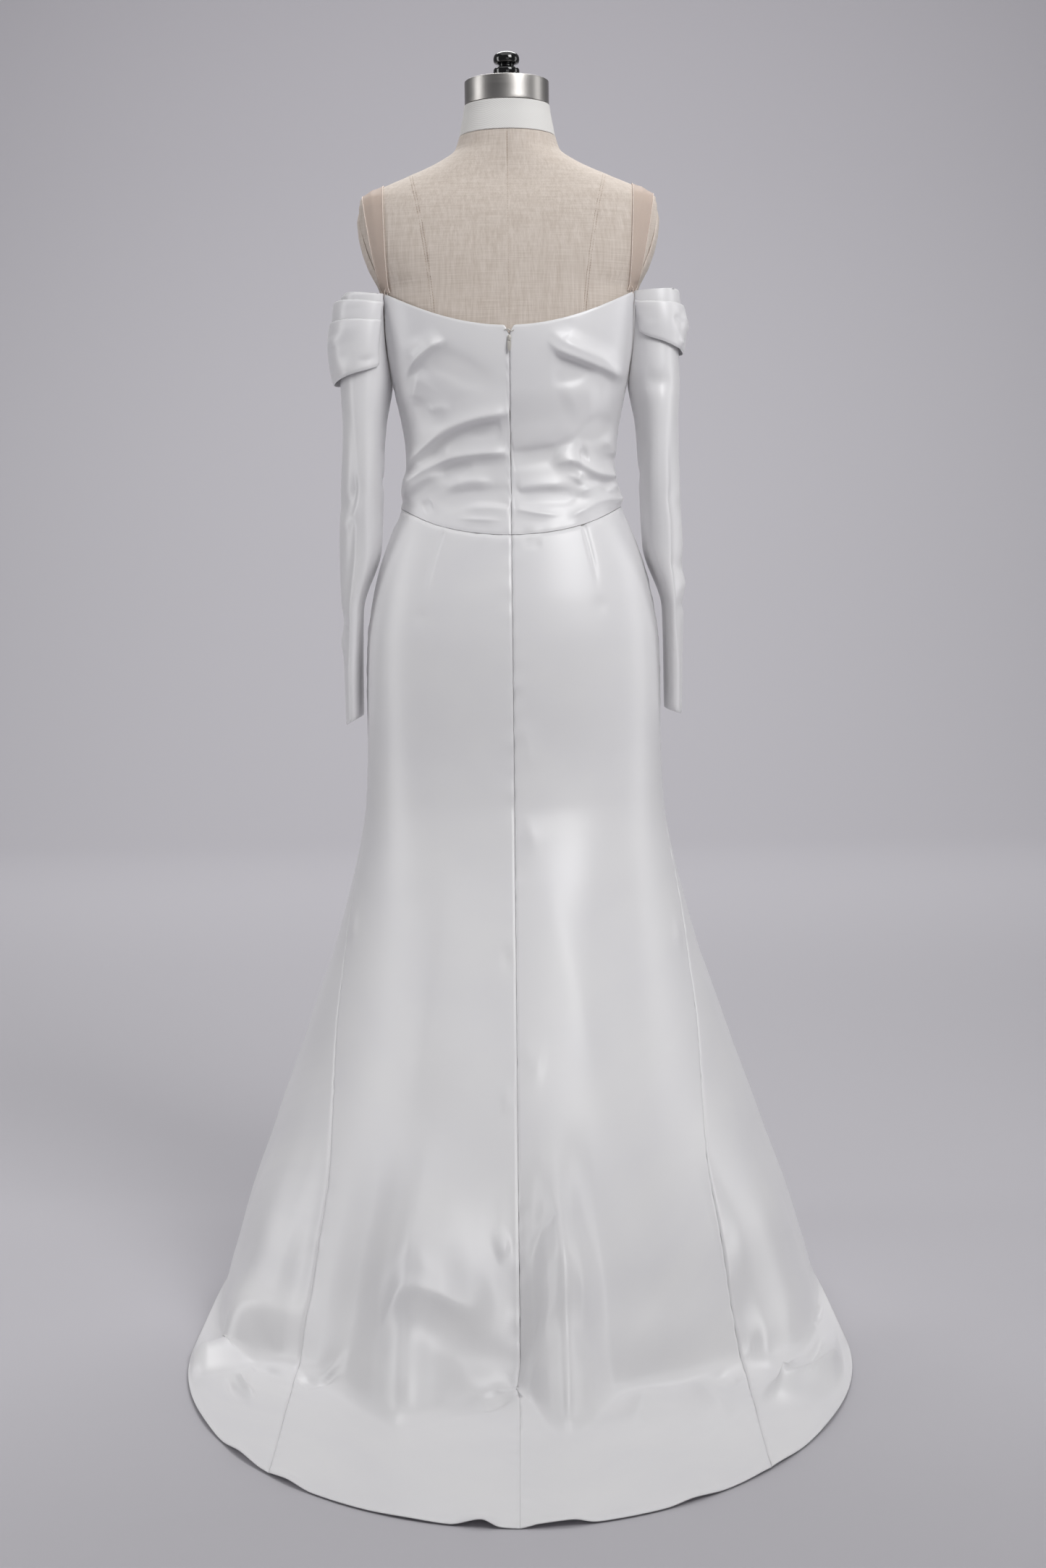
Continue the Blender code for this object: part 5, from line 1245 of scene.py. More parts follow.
RIGHT_SLEEVE_FOLDS = (
    Crease(((60.0, 1.140), (90.0, 1.128), (128.0, 1.134)), -0.0028, 0.010, 0.012),
    Crease(((112.0, 1.110), (122.0, 0.980), (110.0, 0.840), (118.0, 0.760)), -0.0040, 0.018, 0.012),
    Crease(((78.0, 1.090), (64.0, 0.960), (78.0, 0.830)), 0.0034, 0.018, 0.012),
    Crease(((154.0, 1.080), (144.0, 0.950), (156.0, 0.770)), 0.0036, 0.014, 0.020),
    Crease(((176.0, 0.916), (140.0, 0.900), (92.0, 0.908)), -0.0028, 0.008, 0.012),
    Crease(((172.0, 0.894), (150.0, 0.880), (104.0, 0.872)), 0.0024, 0.010, 0.008),
    Crease(((176.0, 0.866), (140.0, 0.852), (112.0, 0.862)), -0.0026, 0.008, 0.010),
    Crease(((96.0, 1.000), (134.0, 0.975), (168.0, 0.978)), -0.0024, 0.012, 0.014),
    Crease(((-116.0, 1.110), (-126.0, 0.950), (-112.0, 0.780)), -0.0040, 0.012, 0.016),
    Crease(((-146.0, 1.080), (-156.0, 0.960), (-144.0, 0.790)), 0.0034, 0.020, 0.014),
    Crease(((-78.0, 1.060), (-68.0, 0.900), (-80.0, 0.760)), 0.0032, 0.014, 0.014),
    Crease(((-168.0, 0.930), (-136.0, 0.944), (-100.0, 0.930)), -0.0026, 0.010, 0.012),
    Crease(((-36.0, 1.030), (0.0, 1.016), (34.0, 1.022)), -0.0024, 0.010, 0.008),
)


@dataclass
class DrapeLayer:
    """One folded layer round the outside of an upper arm, with a rounded fold along its top edge."""

    name: str
    sleeve: Sleeve
    z_top: tuple[float, float]
    z_low: tuple[float, float]
    base: float
    bulge: float
    folds: tuple[Crease, ...] = ()
    tuck: float = 0.45
    columns: int = 96
    rows: int = 36

    def build(self, finishes: Finishes) -> None:
        """Makes the layer. The first height of each pair is at the armhole's edges, and the second outside."""
        angle = np.radians(np.linspace(LAYER_TURN, 360.0 - LAYER_TURN, self.columns))[None, :]
        turned = np.where(angle > math.pi, angle - 2 * math.pi, angle)
        outside = np.sin((angle - angle[0, 0]) / (angle[0, -1] - angle[0, 0]) * math.pi)
        share = gathered_ends(self.rows, 0.6)[:, None]
        top = self.z_top[0] + (self.z_top[1] - self.z_top[0]) * outside
        low = self.z_low[0] + (self.z_low[1] - self.z_low[0]) * outside
        z = top + (low - top) * share
        sleeve_top = self.sleeve.top_z(turned)
        along = np.maximum((sleeve_top - z) / (sleeve_top - SLEEVE_HEM_Z), 0.0)
        points = self.sleeve.point(turned + 0 * share, along)
        flip = -1 if self.sleeve.side < 0 else 1
        sheet = ClothSheet(points[:, ::flip])
        outside, turn = outside[:, ::flip], np.degrees(angle[:, ::flip]) + 0 * share
        rounding = (0.75 + 0.25 * np.cos(math.pi * (share - 0.35))) * (1 - self.tuck * share**4)
        swell = self.base + self.bulge * outside**0.7 * rounding
        places = np.stack(SleeveMeasure().metres(turn, sheet.points[..., 2]), axis=-1)
        height = sum((fold.height_at(places, SleeveMeasure()) for fold in self.folds), np.zeros(places.shape[:2]))
        sheet.raised(swell + FRAME_CLOTH / 2 + height * outside**0.5)
        sheet.finish_edges([SeamEdge(Edge.TOP, 0.0007, 0.0012), SeamEdge(Edge.BOTTOM, 0.0010, 0.0020)])
        piece = sheet.walled(self.name + "_cloth", SATIN_THICKNESS, finishes.satin)
        dress_piece(piece, [self.name])


def arm_layers(left: Sleeve, right: Sleeve) -> list[DrapeLayer]:
    """The folded layers of both arms: three on the left and two on the right."""
    return [
        DrapeLayer("drape_left_1", left, (1.2420, 1.2400), (1.2120, 1.2120), 0.0010, 0.0022),
        DrapeLayer(
            "drape_left_2", left, (1.2300, 1.2330), (1.1850, 1.1850), 0.0027, 0.0095,
            (Crease(((112.0, 1.228), (108.0, 1.200)), -0.0016, 0.010, 0.010),),
        ),
        DrapeLayer(
            "drape_left_3", left, (1.2080, 1.2070), (1.1520, 1.1320), 0.0044, 0.0118,
            (
                Crease(((118.0, 1.196), (112.0, 1.176), (120.0, 1.146)), -0.0036, 0.010, 0.012),
                Crease(((140.0, 1.190), (136.0, 1.174)), 0.0022, 0.012, 0.012),
                Crease(((62.0, 1.166), (84.0, 1.158), (100.0, 1.156)), -0.0024, 0.004, 0.006),
                Crease(((-100.0 + 360.0, 1.196), (-112.0 + 360.0, 1.150)), -0.0030, 0.012, 0.012),
            ),
        ),
        DrapeLayer("drape_right_1", right, (1.2420, 1.2440), (1.2050, 1.2050), 0.0010, 0.0045),
        DrapeLayer(
            "drape_right_2", right, (1.2290, 1.2240), (1.1900, 1.1660), 0.0027, 0.0085,
            (
                Crease(((116.0, 1.208), (132.0, 1.204), (150.0, 1.196)), -0.0030, 0.005, 0.008),
                Crease(((140.0, 1.214), (160.0, 1.200), (172.0, 1.190)), 0.0030, 0.008, 0.008),
                Crease(((128.0, 1.178), (152.0, 1.176)), 0.0030, 0.006, 0.006),
                Crease(((80.0, 1.222), (84.0, 1.196)), -0.0016, 0.010, 0.010),
                Crease(((-104.0 + 360.0, 1.220), (-112.0 + 360.0, 1.180)), -0.0026, 0.012, 0.012),
            ),
        ),
    ]


def form_rings() -> list[Ring]:
    """The form's own rings, a little inside the dress up to the neckline."""
    rings = []
    for ring in STANDING_RINGS:
        if 0.70 < ring.level < 1.20:
            low = min(max((0.95 - ring.level) / 0.08, 0.0), 1.0)
            waist = max(1.0 - abs(ring.level - 1.033) / 0.08, 0.0)
            shrink = FRAME_CLOTH + 0.0022 + 0.0038 * low + 0.0016 * waist
            rings.append(
                replace(ring, half=ring.half - shrink, y_back=ring.y_back + shrink, y_front=ring.y_front - shrink)
            )
    return rings + SHOULDER_RINGS


FORM = Loft(form_rings())


@dataclass
class SeamStitches:
    """A row of stitches along a seam, made by Geometry Nodes: one short rounded stitch at each step of the path."""

    spacing: float = 0.0032
    length: float = 0.0021
    radius: float = 0.00022
    seed: int = 7

    def tree(self, material: bpy.types.Material) -> bpy.types.NodeTree:
        """Builds the node tree with its named inputs.

        Args:
            material: The thread's finish.

        Returns:
            The tree.
        """
        tree = bpy.data.node_groups.new("stitches_along_a_seam", "GeometryNodeTree")
        face = tree.interface
        face.new_socket("Geometry", in_out="INPUT", socket_type="NodeSocketGeometry")
        for name in ("Spacing", "Stitch Length", "Thread Radius"):
            face.new_socket(name, in_out="INPUT", socket_type="NodeSocketFloat")
        face.new_socket("Seed", in_out="INPUT", socket_type="NodeSocketInt")
        face.new_socket("Geometry", in_out="OUTPUT", socket_type="NodeSocketGeometry")
        given = add_node(tree, "NodeGroupInput").outputs
        path = add_node(tree, "GeometryNodeMeshToCurve", Mesh=given["Geometry"])
        steps = add_node(
            tree, "GeometryNodeCurveToPoints", {"mode": "LENGTH"}, Curve=path.outputs[0], Length=given["Spacing"]
        )
        stitch = add_node(
            tree, "GeometryNodeMeshCylinder", Vertices=6, Radius=given["Thread Radius"], Depth=given["Stitch Length"]
        )
        vary = add_node(
            tree, "FunctionNodeRandomValue", {"data_type": "FLOAT"}, i2=0.85, i3=1.12, Seed=given["Seed"]
        )
        copies = add_node(
            tree, "GeometryNodeInstanceOnPoints",
            Points=steps.outputs["Points"], Instance=stitch.outputs["Mesh"],
            Rotation=steps.outputs["Rotation"], Scale=vary.outputs[1],
        )
        whole = add_node(tree, "GeometryNodeRealizeInstances", Geometry=copies.outputs[0])
        finished = add_node(tree, "GeometryNodeSetMaterial", Geometry=whole.outputs[0], Material=material)
        add_node(tree, "NodeGroupOutput", Geometry=finished.outputs[0])
        return tree

    def along(self, name: str, paths: list[Array], material: bpy.types.Material) -> bpy.types.Object:
        """Sews stitches along paths of points and gives them as one plain mesh.

        Args:
            name: The piece's name.
            paths: Each path's points.
            material: The thread's finish.

        Returns:
            The stitches.
        """
        guide_mesh = bpy.data.meshes.new(name + "_path")
        edges, count = [], 0
        for path in paths:
            edges += [(count + i, count + i + 1) for i in range(len(path) - 1)]
            count += len(path)
        guide_mesh.from_pydata(np.concatenate(paths).tolist(), edges, [])
        guide = bpy.data.objects.new(name + "_path", guide_mesh)
        bpy.context.scene.collection.objects.link(guide)
        modifier = guide.modifiers.new("stitches", "NODES")
        tree = self.tree(material)
        sizes = {"Spacing": self.spacing, "Stitch Length": self.length, "Thread Radius": self.radius, "Seed": self.seed}
        for item in tree.interface.items_tree:
            if item.item_type == "SOCKET" and item.in_out == "INPUT" and item.name in sizes:
                modifier[item.identifier] = sizes[item.name]
        modifier.node_group = tree
        for item in tree.interface.items_tree:
            if item.item_type == "SOCKET" and item.in_out == "INPUT" and item.name in sizes:
                modifier[item.identifier] = sizes[item.name]
        graph = bpy.context.evaluated_depsgraph_get()
        mesh = bpy.data.meshes.new_from_object(guide.evaluated_get(graph))
        bpy.data.objects.remove(guide, do_unlink=True)
        mesh.name = name
        made = bpy.data.objects.new(name, mesh)
        bpy.context.scene.collection.objects.link(made)
        return made


@dataclass
class DressForm:
    """The limbless form under the dress: linen torso with its seams, arm plates, neck, cap, knob, pole and foot."""

    columns: int = 224
    plate_inset: float = 0.0080
    plate_z: float = 1.2720
    plate_half_height: float = 0.0760
    plate_half_depth: float = 0.0350
    neck_y: float = 0.003
    princess: tuple[tuple[float, float], ...] = ((0.750, 0.088), (1.000, 0.070), (1.150, 0.088), (1.230, 0.094), (1.320, 0.106), (1.388, 0.120))

    def plate_seat_x(self, z: Array) -> Array:
        """Distance from the middle of the flat side that each arm plate covers."""
        levels = self.plate_z + (self.plate_half_height + 0.004) * np.linspace(-1, 1, 9)
        return np.interp(z, levels, FORM.at("half", levels) - self.plate_inset)

    def surface(self, angle: Array, z: Array) -> Array:
        """Points of the torso, cut flat where the arm plates sit."""
        points = FORM.point(angle, z)
        past = np.abs(z - self.plate_z) - self.plate_half_height
        reach = 1 - np.clip((past - 0.004) / 0.012, 0, 1)
        limit = FORM.at("half", z) - self.plate_inset * reach
        points[..., 0] = np.clip(points[..., 0], -limit, limit)
        return points

    def princess_x(self, z: Array) -> Array:
        """Distance of the princess seams from the middle."""
        return smooth_value([z0 for z0, _ in self.princess], [x for _, x in self.princess], z)

    def torso(self, finishes: Finishes) -> None:
        """The linen torso, with grooves at its centre and princess seams and over its shoulders."""
        z = np.concatenate([np.linspace(1.436, 1.17, 110), np.linspace(1.17, 0.75, 50)[1:]])[:, None]
        angle = np.radians(np.arange(self.columns) * 360.0 / self.columns)[None, :] + 0.5 * math.pi / self.columns
        sheet = ClothSheet(self.surface(angle + 0 * z, z + 0 * angle), wrap=True)
        x, y = sheet.points[..., 0], sheet.points[..., 1]
        near = np.minimum(np.abs(x), np.abs(np.abs(x) - self.princess_x(z)))
        shoulder = np.abs(y - 0.006) + 0.5 * np.clip(1.30 - z, 0, 1)
        groove = np.exp(-((near / 0.0012) ** 2)) + np.where(z > 1.33, np.exp(-((shoulder / 0.0014) ** 2)), 0)
        lips = np.exp(-(((near - 0.0030) / 0.0016) ** 2))
        sheet.raised(-0.0008 * groove + 0.0003 * lips)
        rows, columns = sheet.points.shape[:2]
        corners = sheet.points.reshape(-1, 3)
        index = np.arange(rows * columns).reshape(rows, columns)
        beside = np.roll(index, -1, axis=1)
        faces = np.stack([index[:-1], index[1:], beside[1:], beside[:-1]], axis=-1).reshape(-1, 4).tolist()
        faces += [index[0].tolist(), index[-1][::-1].tolist()]
        mesh = bpy.data.meshes.new("form_torso_cover")
        mesh.from_pydata(corners, [], faces)
        mesh.shade_smooth()
        mesh.set_sharp_from_angle(angle=math.radians(60))
        piece = place_mesh("form_torso_cover", mesh, finishes.linen)
        dress_piece(piece, ["form_torso"])

    def seam_stitches(self, finishes: Finishes) -> None:
        """The stitches that show along the form's seams, above and under the dress."""
        z = np.linspace(1.432, 0.76, 140)
        paths = []
        for front in (False, True):
            for side in (-1, 0, 1):
                for beside in (-1, 1) if side else (0,):
                    x = side * self.princess_x(z) + beside * 0.0016
                    keep = np.abs(x) < FORM.at("half", z) * 0.93
                    power = FORM.at("power", z)
                    depth = np.maximum(1 - (np.abs(x) / FORM.at("half", z)) ** power, 0) ** (1 / power)
                    y_mid = FORM.at("y_mid", z)
                    reach = FORM.at("y_front", z) - y_mid if front else FORM.at("y_back", z) - y_mid
                    path = np.stack([x, y_mid + reach * depth, z], axis=-1)[keep]
                    path[:, 1] += 0.00005 if front else -0.00005
                    if len(path) > 2:
                        paths.append(path)
        piece = SeamStitches().along("form_seam_stitches", paths, finishes.thread)
        dress_piece(piece, [])

    def arm_plate(self, side: int, finishes: Finishes) -> None:
        """An oval linen-covered plate that closes the form's armhole, domed and rolled at its rim."""
        turn = np.linspace(0, 2 * math.pi, 72, endpoint=False)[None, :]
        share = np.sin(np.linspace(0, math.pi / 2, 20))[::-1][:-1, None]
        z = self.plate_z + self.plate_half_height * share * np.cos(turn)
        y = -0.002 + self.plate_half_depth * share * np.sin(turn)
        dome = SEAM_GAP + 0.0026 * (1 - share**14) ** 0.5 + 0.0050 * (1 - share**2)
        x = side * (self.plate_seat_x(z) + dome)
        points = np.stack(np.broadcast_arrays(x, y, z), axis=-1).reshape(-1, 3)
        count = turn.size
        rows = share.size
        index = np.arange(rows * count).reshape(rows, count)
        beside = np.roll(index, -1, axis=1)
        faces = np.stack([index[:-1], beside[:-1], beside[1:], index[1:]], axis=-1).reshape(-1, 4).tolist()
        seat = points[:count].copy()
        seat[:, 0] = side * (self.plate_seat_x(seat[:, 2]) + SEAM_GAP)
        base = rows * count + np.arange(count)
        faces += np.stack([index[0], np.roll(index[0], -1), np.roll(base, -1), base], axis=-1)[:, ::-1].tolist()
        faces += [base[::-1].tolist(), index[-1].tolist()]
        name = "form_arm_plate_left" if side < 0 else "form_arm_plate_right"
        mesh = bpy.data.meshes.new(name + "_cover")
        mesh.from_pydata(np.concatenate([points, seat]).tolist(), [], faces)
        mesh.shade_smooth()
        mesh.set_sharp_from_angle(angle=math.radians(70))
        dress_piece(place_mesh(name + "_cover", mesh, finishes.linen), [name])

    def turned(self, name: str, profile: list[tuple[float, float]], centre_y: float, material) -> bpy.types.Object:
        """A turned piece from (radius, height) pairs from the lowest to the highest, rounded between them."""
        line = Crease(tuple(profile), 0.0, 1.0, 1.0).curve(Measure())
        turn = np.linspace(0, 2 * math.pi, 72, endpoint=False)
        radius, height = np.maximum(line[:, :1], 0.0002), line[:, 1:]
        points = np.stack(
            np.broadcast_arrays(radius * np.sin(turn), centre_y - radius * np.cos(turn), height), axis=-1
        )
        rows, count = points.shape[:2]
        index = np.arange(rows * count).reshape(rows, count)
        beside = np.roll(index, -1, axis=1)
        faces = np.stack([index[:-1], beside[:-1], beside[1:], index[1:]], axis=-1).reshape(-1, 4).tolist()
        faces += [index[0][::-1].tolist(), index[-1].tolist()]
        mesh = bpy.data.meshes.new(name)
        mesh.from_pydata(points.reshape(-1, 3).tolist(), [], faces)
        mesh.shade_smooth()
        mesh.set_sharp_from_angle(angle=math.radians(42))
        return place_mesh(name, mesh, material)

    def neck(self, finishes: Finishes) -> None:
        """The white neck band, the steel cap and the black knob."""
        band = [(0.0580, 1.4364), (0.0596, 1.4372), (0.0592, 1.4400), (0.0566, 1.4540), (0.0546, 1.4640), (0.0534, 1.4742)]
        dress_piece(self.turned("neck_band", band, self.neck_y, finishes.twill), ["form_neck_band"])
        cap = [
            (0.0510, 1.4751), (0.0522, 1.4755), (0.0525, 1.4765), (0.0525, 1.4850), (0.0525, 1.5020),
            (0.0522, 1.5036), (0.0512, 1.5046), (0.0480, 1.5049), (0.0300, 1.5050), (0.0140, 1.5050),
        ]
        dress_piece(self.turned("neck_cap", cap, self.neck_y, finishes.steel), ["form_neck_cap"])
        knob = [
            (0.0138, 1.5054), (0.0148, 1.5062), (0.0150, 1.5095), (0.0158, 1.5130), (0.0163, 1.5165), (0.0160, 1.5195),
            (0.0140, 1.5214), (0.0104, 1.5224), (0.0094, 1.5240), (0.0104, 1.5252), (0.0146, 1.5268), (0.0160, 1.5292),
            (0.0163, 1.5320), (0.0158, 1.5350), (0.0142, 1.5378), (0.0112, 1.5398), (0.0068, 1.5408), (0.0004, 1.5411),
        ]
        dress_piece(self.turned("neck_knob", knob, self.neck_y, finishes.black), ["form_knob"])

    def stand(self, finishes: Finishes) -> None:
        """The pole and the cast foot."""
        pole = [(0.0160, 0.0245), (0.0160, 0.1000), (0.0160, 0.7497)]
        dress_piece(self.turned("stand_pole", pole, 0.0, finishes.paint), ["form_pole"])
        foot = [
            (0.1490, 0.0002), (0.1499, 0.0014), (0.1500, 0.0080), (0.1494, 0.0128), (0.1466, 0.0158), (0.1380, 0.0178),
            (0.0900, 0.0200), (0.0400, 0.0226), (0.0290, 0.0238), (0.0180, 0.0240),
        ]
        dress_piece(self.turned("stand_foot", foot, 0.0, finishes.paint), ["form_foot"])

    def build(self, finishes: Finishes) -> None:
        """Makes the whole form."""
        self.torso(finishes)
        self.seam_stitches(finishes)
        self.arm_plate(-1, finishes)
        self.arm_plate(1, finishes)
        self.neck(finishes)
        self.stand(finishes)


@dataclass
class ShoulderStrap:
    """A strip of sheer net from the bodice's back corner over the shoulder to its front corner, with rolled edges."""

    side: int
    rows: int = 120
    columns: int = 22
    loop_half: float = 0.0017
    loop_height: float = 0.0050

    def sheet(self) -> ClothSheet:
        """The net's outer face, just over the linen."""
        from_crest = np.linspace(-1.0, 1.0, self.rows)[:, None]
        turn = math.pi / 2 * (1 + np.sign(from_crest) * np.abs(from_crest) ** 1.5)
        share = np.linspace(0, 1, self.columns)[None, :]
        low_z = CORNER_Z + 0.0010
        crest = np.sin(turn)
        inner_x = 0.1450 + 0.0090 * crest**0.5
        outer_x = 0.1540 + 0.0260 * crest**0.7
        x = inner_x + (outer_x - inner_x) * share
        shoulder = [ring for ring in FORM.rings if ring.level >= 1.346]
        top = np.interp(-x, [-ring.half for ring in shoulder], [ring.level for ring in shoulder])
        z = low_z + (top - 0.0004 - low_z) * crest
        half, power, y_mid = FORM.at("half", z), FORM.at("power", z), FORM.at("y_mid", z)
        depth = np.maximum(1 - (x / half) ** power, 0.0) ** (1 / power)
        reach = np.where(turn < math.pi / 2, FORM.at("y_back", z) - y_mid, FORM.at("y_front", z) - y_mid)
        points = np.stack(np.broadcast_arrays(self.side * x, y_mid + reach * depth, z), axis=-1)
        points = points[:, ::-1] if self.side < 0 else points
        sheet = ClothSheet(points)
        middle = np.array([self.side * 0.12, 0.0, 1.20])
        normal = sheet.normals()
        if np.sum((points - middle) * normal) < 0:
            sheet = ClothSheet(points[:, ::-1])
        ripple = 0.0009 * np.exp(-(((share - 0.55) / 0.16) ** 2)) * crest**2
        sheet.raised(0.0010 + 0.0007 * (1 - crest) + NET_THICKNESS + ripple + 0 * share)
        return sheet

    def build(self, finishes: Finishes) -> None:
        """Makes the strap, its rolled edges and the small loop at its lower end."""
        name = "strap_left" if self.side < 0 else "strap_right"
        sheet = self.sheet()
        piece = sheet.walled(name + "_net", NET_THICKNESS, finishes.net)
        dress_piece(piece, [name])
        edges = [sheet.points[:, 0], sheet.points[:, -1]]
        ends = sheet.points[[0, -1]]
        corner = ends[np.argmin(ends[:, 0, 1])].mean(axis=0) + (0, -0.0012, 0)
        turn = np.linspace(-0.35 * math.pi, 1.35 * math.pi, 24)
        reach = np.stack([self.loop_half * np.cos(turn), 0 * turn, self.loop_height * np.sin(turn)], axis=-1)
        cords = SeamStitches(0.0010, 0.0013, 0.0005).along(name + "_cords", [*edges, corner + reach], finishes.cord)
        dress_piece(cords, [])


@dataclass
class Zip:
    """The invisible zip at the centre back: its tape and coil inside, slider, drop pull, and a hook and eye."""

    slider_z: float = 1.1775
    half_width: float = 0.0026
    half_height: float = 0.0042
    thickness: float = 0.0021
    clearance: float = 0.0015
    bridge_reach: float = 0.0030
    bar: float = 0.0008
    pull_thickness: float = 0.0009
    pull_length: float = 0.0160

    def cloth_y(self, z: Array) -> Array:
        """Depth of the cloth's outer face at the centre back."""
        return GARMENT.point(0 * z, z)[..., 1]

    def tape(self, finishes: Finishes) -> None:
        """Both tapes as one strip behind the centre back seam."""
        z = np.linspace(1.165, 0.842, 120)[:, None]
        x = np.linspace(-0.0105, 0.0105, 9)[None, :]
        sheet = ClothSheet(np.stack(np.broadcast_arrays(x, self.cloth_y(z) + 0.0023, z), axis=-1))
        piece = sheet.walled("zip_tape_woven", 0.0005, finishes.tape)
        dress_piece(piece, ["zip_tape"])

    def coil(self, finishes: Finishes) -> None:
        """The zip's coil along the inside of the tape, made of repeated short links."""
        z = np.linspace(1.160, 0.846, 160)
        path = np.stack([0 * z, self.cloth_y(z) + 0.0032, z], axis=-1)
        piece = SeamStitches(0.0014, 0.0009, 0.00035, 3).along("zip_coil", [path], finishes.enamel)
        dress_piece(piece, [])

    def slider(self, finishes: Finishes) -> None:
        """The slider's shell, waisted between its shoulders, with the bridge that holds the pull."""
        seat = float(self.cloth_y(np.array(self.slider_z))) - SEAM_GAP
        face = seat - self.thickness
        outline = []
        for turn in np.linspace(0, 2 * math.pi, 40, endpoint=False):
            up = math.cos(turn)
            across = math.sin(turn) * self.half_width * (0.86 + 0.14 * up)
            outline.append((across, up * self.half_height))
        rings = []
        for depth, grow in ((seat, 1.0), (face + 0.0006, 1.0), (face + 0.0002, 0.93), (face, 0.78)):
            rings.append([(x * grow, depth, self.slider_z + z * grow) for x, z in outline])
        shell = self.stack("zip_slider_shell", rings, finishes.enamel)
        over = face - self.clearance - self.bar
        arch = []
        for turn in np.linspace(0, math.pi, 13):
            arch.append((self.bridge_reach * math.cos(turn), (face - 0.0001) + (over - face) * math.sin(turn) ** 0.55))
        rings = []
        for place, (up, y) in enumerate(arch):
            before, after = arch[max(place - 1, 0)], arch[min(place + 1, len(arch) - 1)]
            run = Vector((0.0, after[1] - before[1], after[0] - before[0])).normalized()
            side = run.cross(Vector((1.0, 0.0, 0.0))).normalized()
            spot = Vector((0.0, y + self.bar / 2 * math.sin(math.pi * place / (len(arch) - 1)), self.slider_z + up))
            ring = []
            for a in np.linspace(0, 2 * math.pi, 10, endpoint=False):
                ring.append(tuple(spot + Vector((0.0009 * math.cos(a), 0, 0)) + side * (self.bar / 2 * math.sin(a))))
            rings.append(ring)
        bridge = self.stack("zip_bridge", rings, finishes.enamel)
        dress_piece(join_meshes("zip_slider_shell", [shell, bridge]), ["zip_slider"])

    def stack(self, name: str, rings: list[list[tuple]], material: bpy.types.Material) -> bpy.types.Object:
        """A closed solid through rings of points."""
        count = len(rings[0])
        faces = []
        for row in range(len(rings) - 1):
            for a in range(count):
                b = (a + 1) % count
                faces.append((row * count + a, row * count + b, (row + 1) * count + b, (row + 1) * count + a))
        faces += [tuple(reversed(range(count))), tuple(range((len(rings) - 1) * count, len(rings) * count))]
        mesh = bpy.data.meshes.new(name)
        mesh.from_pydata([point for ring in rings for point in ring], [], faces)
        mesh.shade_smooth()
        mesh.set_sharp_from_angle(angle=math.radians(50))
        return place_mesh(name, mesh, material)

    def pull(self, finishes: Finishes) -> None:
        """The drop-shaped pull: a rounded wire eye round the bridge, which widens into a flat drop."""
        face = float(self.cloth_y(np.array(self.slider_z))) - SEAM_GAP - self.thickness
        axis_y = face - self.clearance / 2
        half = self.pull_thickness / 2
        outer, inner = [], []
        for turn in np.linspace(0, 2 * math.pi, 48, endpoint=False):
            down = (1 - math.cos(turn)) / 2
            width = 0.0021 + 0.0005 * down
            outer.append((width * math.sin(turn) * (1.0 if down > 0.2 else 0.9), half - (self.pull_length + half) * down))
        for turn in np.linspace(0, 2 * math.pi, 48, endpoint=False):
            inner.append((0.0013 * math.sin(turn), -0.0021 + 0.0016 * math.cos(turn)))
        rings = []
        for ring, y in ((inner, -half * 0.5), (inner, half * 0.5), (outer, half * 0.55), (outer, -half * 0.55)):
            rings.append([(x, axis_y + y, self.slider_z + z) for x, z in ring])
        for grow, y in ((0.86, half), (0.86, -half)):
            ring = [(x * grow, axis_y + y, self.slider_z + z * 0.97 - 0.0001) for x, z in outer]
            rings.insert(2 if y > 0 else len(rings), ring)
        count = 48
        faces = []
        for row in range(len(rings)):
            after = (row + 1) % len(rings)
            for a in range(count):
                b = (a + 1) % count
                faces.append((row * count + a, row * count + b, after * count + b, after * count + a))
        mesh = bpy.data.meshes.new("zip_pull_drop")
        mesh.from_pydata([point for ring in rings for point in ring], [], faces)
        mesh.shade_smooth()
        mesh.set_sharp_from_angle(angle=math.radians(50))
        dress_piece(place_mesh("zip_pull_drop", mesh, finishes.enamel), ["zip_pull"], Body.PULL)

    def hook_and_eye(self, finishes: Finishes) -> None:
        """The closure across the notch: a wire eye and a hook with a rounded bill."""
        z = NOTCH_Z + 0.0042
        y = float(self.cloth_y(np.array(z))) - 0.0011
        rings = []
        for share in np.linspace(0, 1, 25):
            x = -0.0060 + 0.0120 * share
            spot = Vector((x, y - 0.0005 * math.sin(math.pi * share), z + 0.0009 * math.sin(2 * math.pi * share)))
            thick = 0.0005 + 0.0011 * math.exp(-(((share - 0.5) / 0.16) ** 2))
            ring = [spot + Vector((0, thick * math.cos(a), thick * math.sin(a))) for a in np.linspace(0, 2 * math.pi, 12, endpoint=False)]
            rings.append([tuple(point) for point in ring])
        piece = self.stack("hook_and_eye_wire", rings, finishes.enamel)
        dress_piece(piece, ["hook_and_eye"])

    def build(self, finishes: Finishes) -> None:
        """Makes every piece of the zip."""
        self.tape(finishes)
        self.coil(finishes)
        self.slider(finishes)
        self.pull(finishes)
        self.hook_and_eye(finishes)


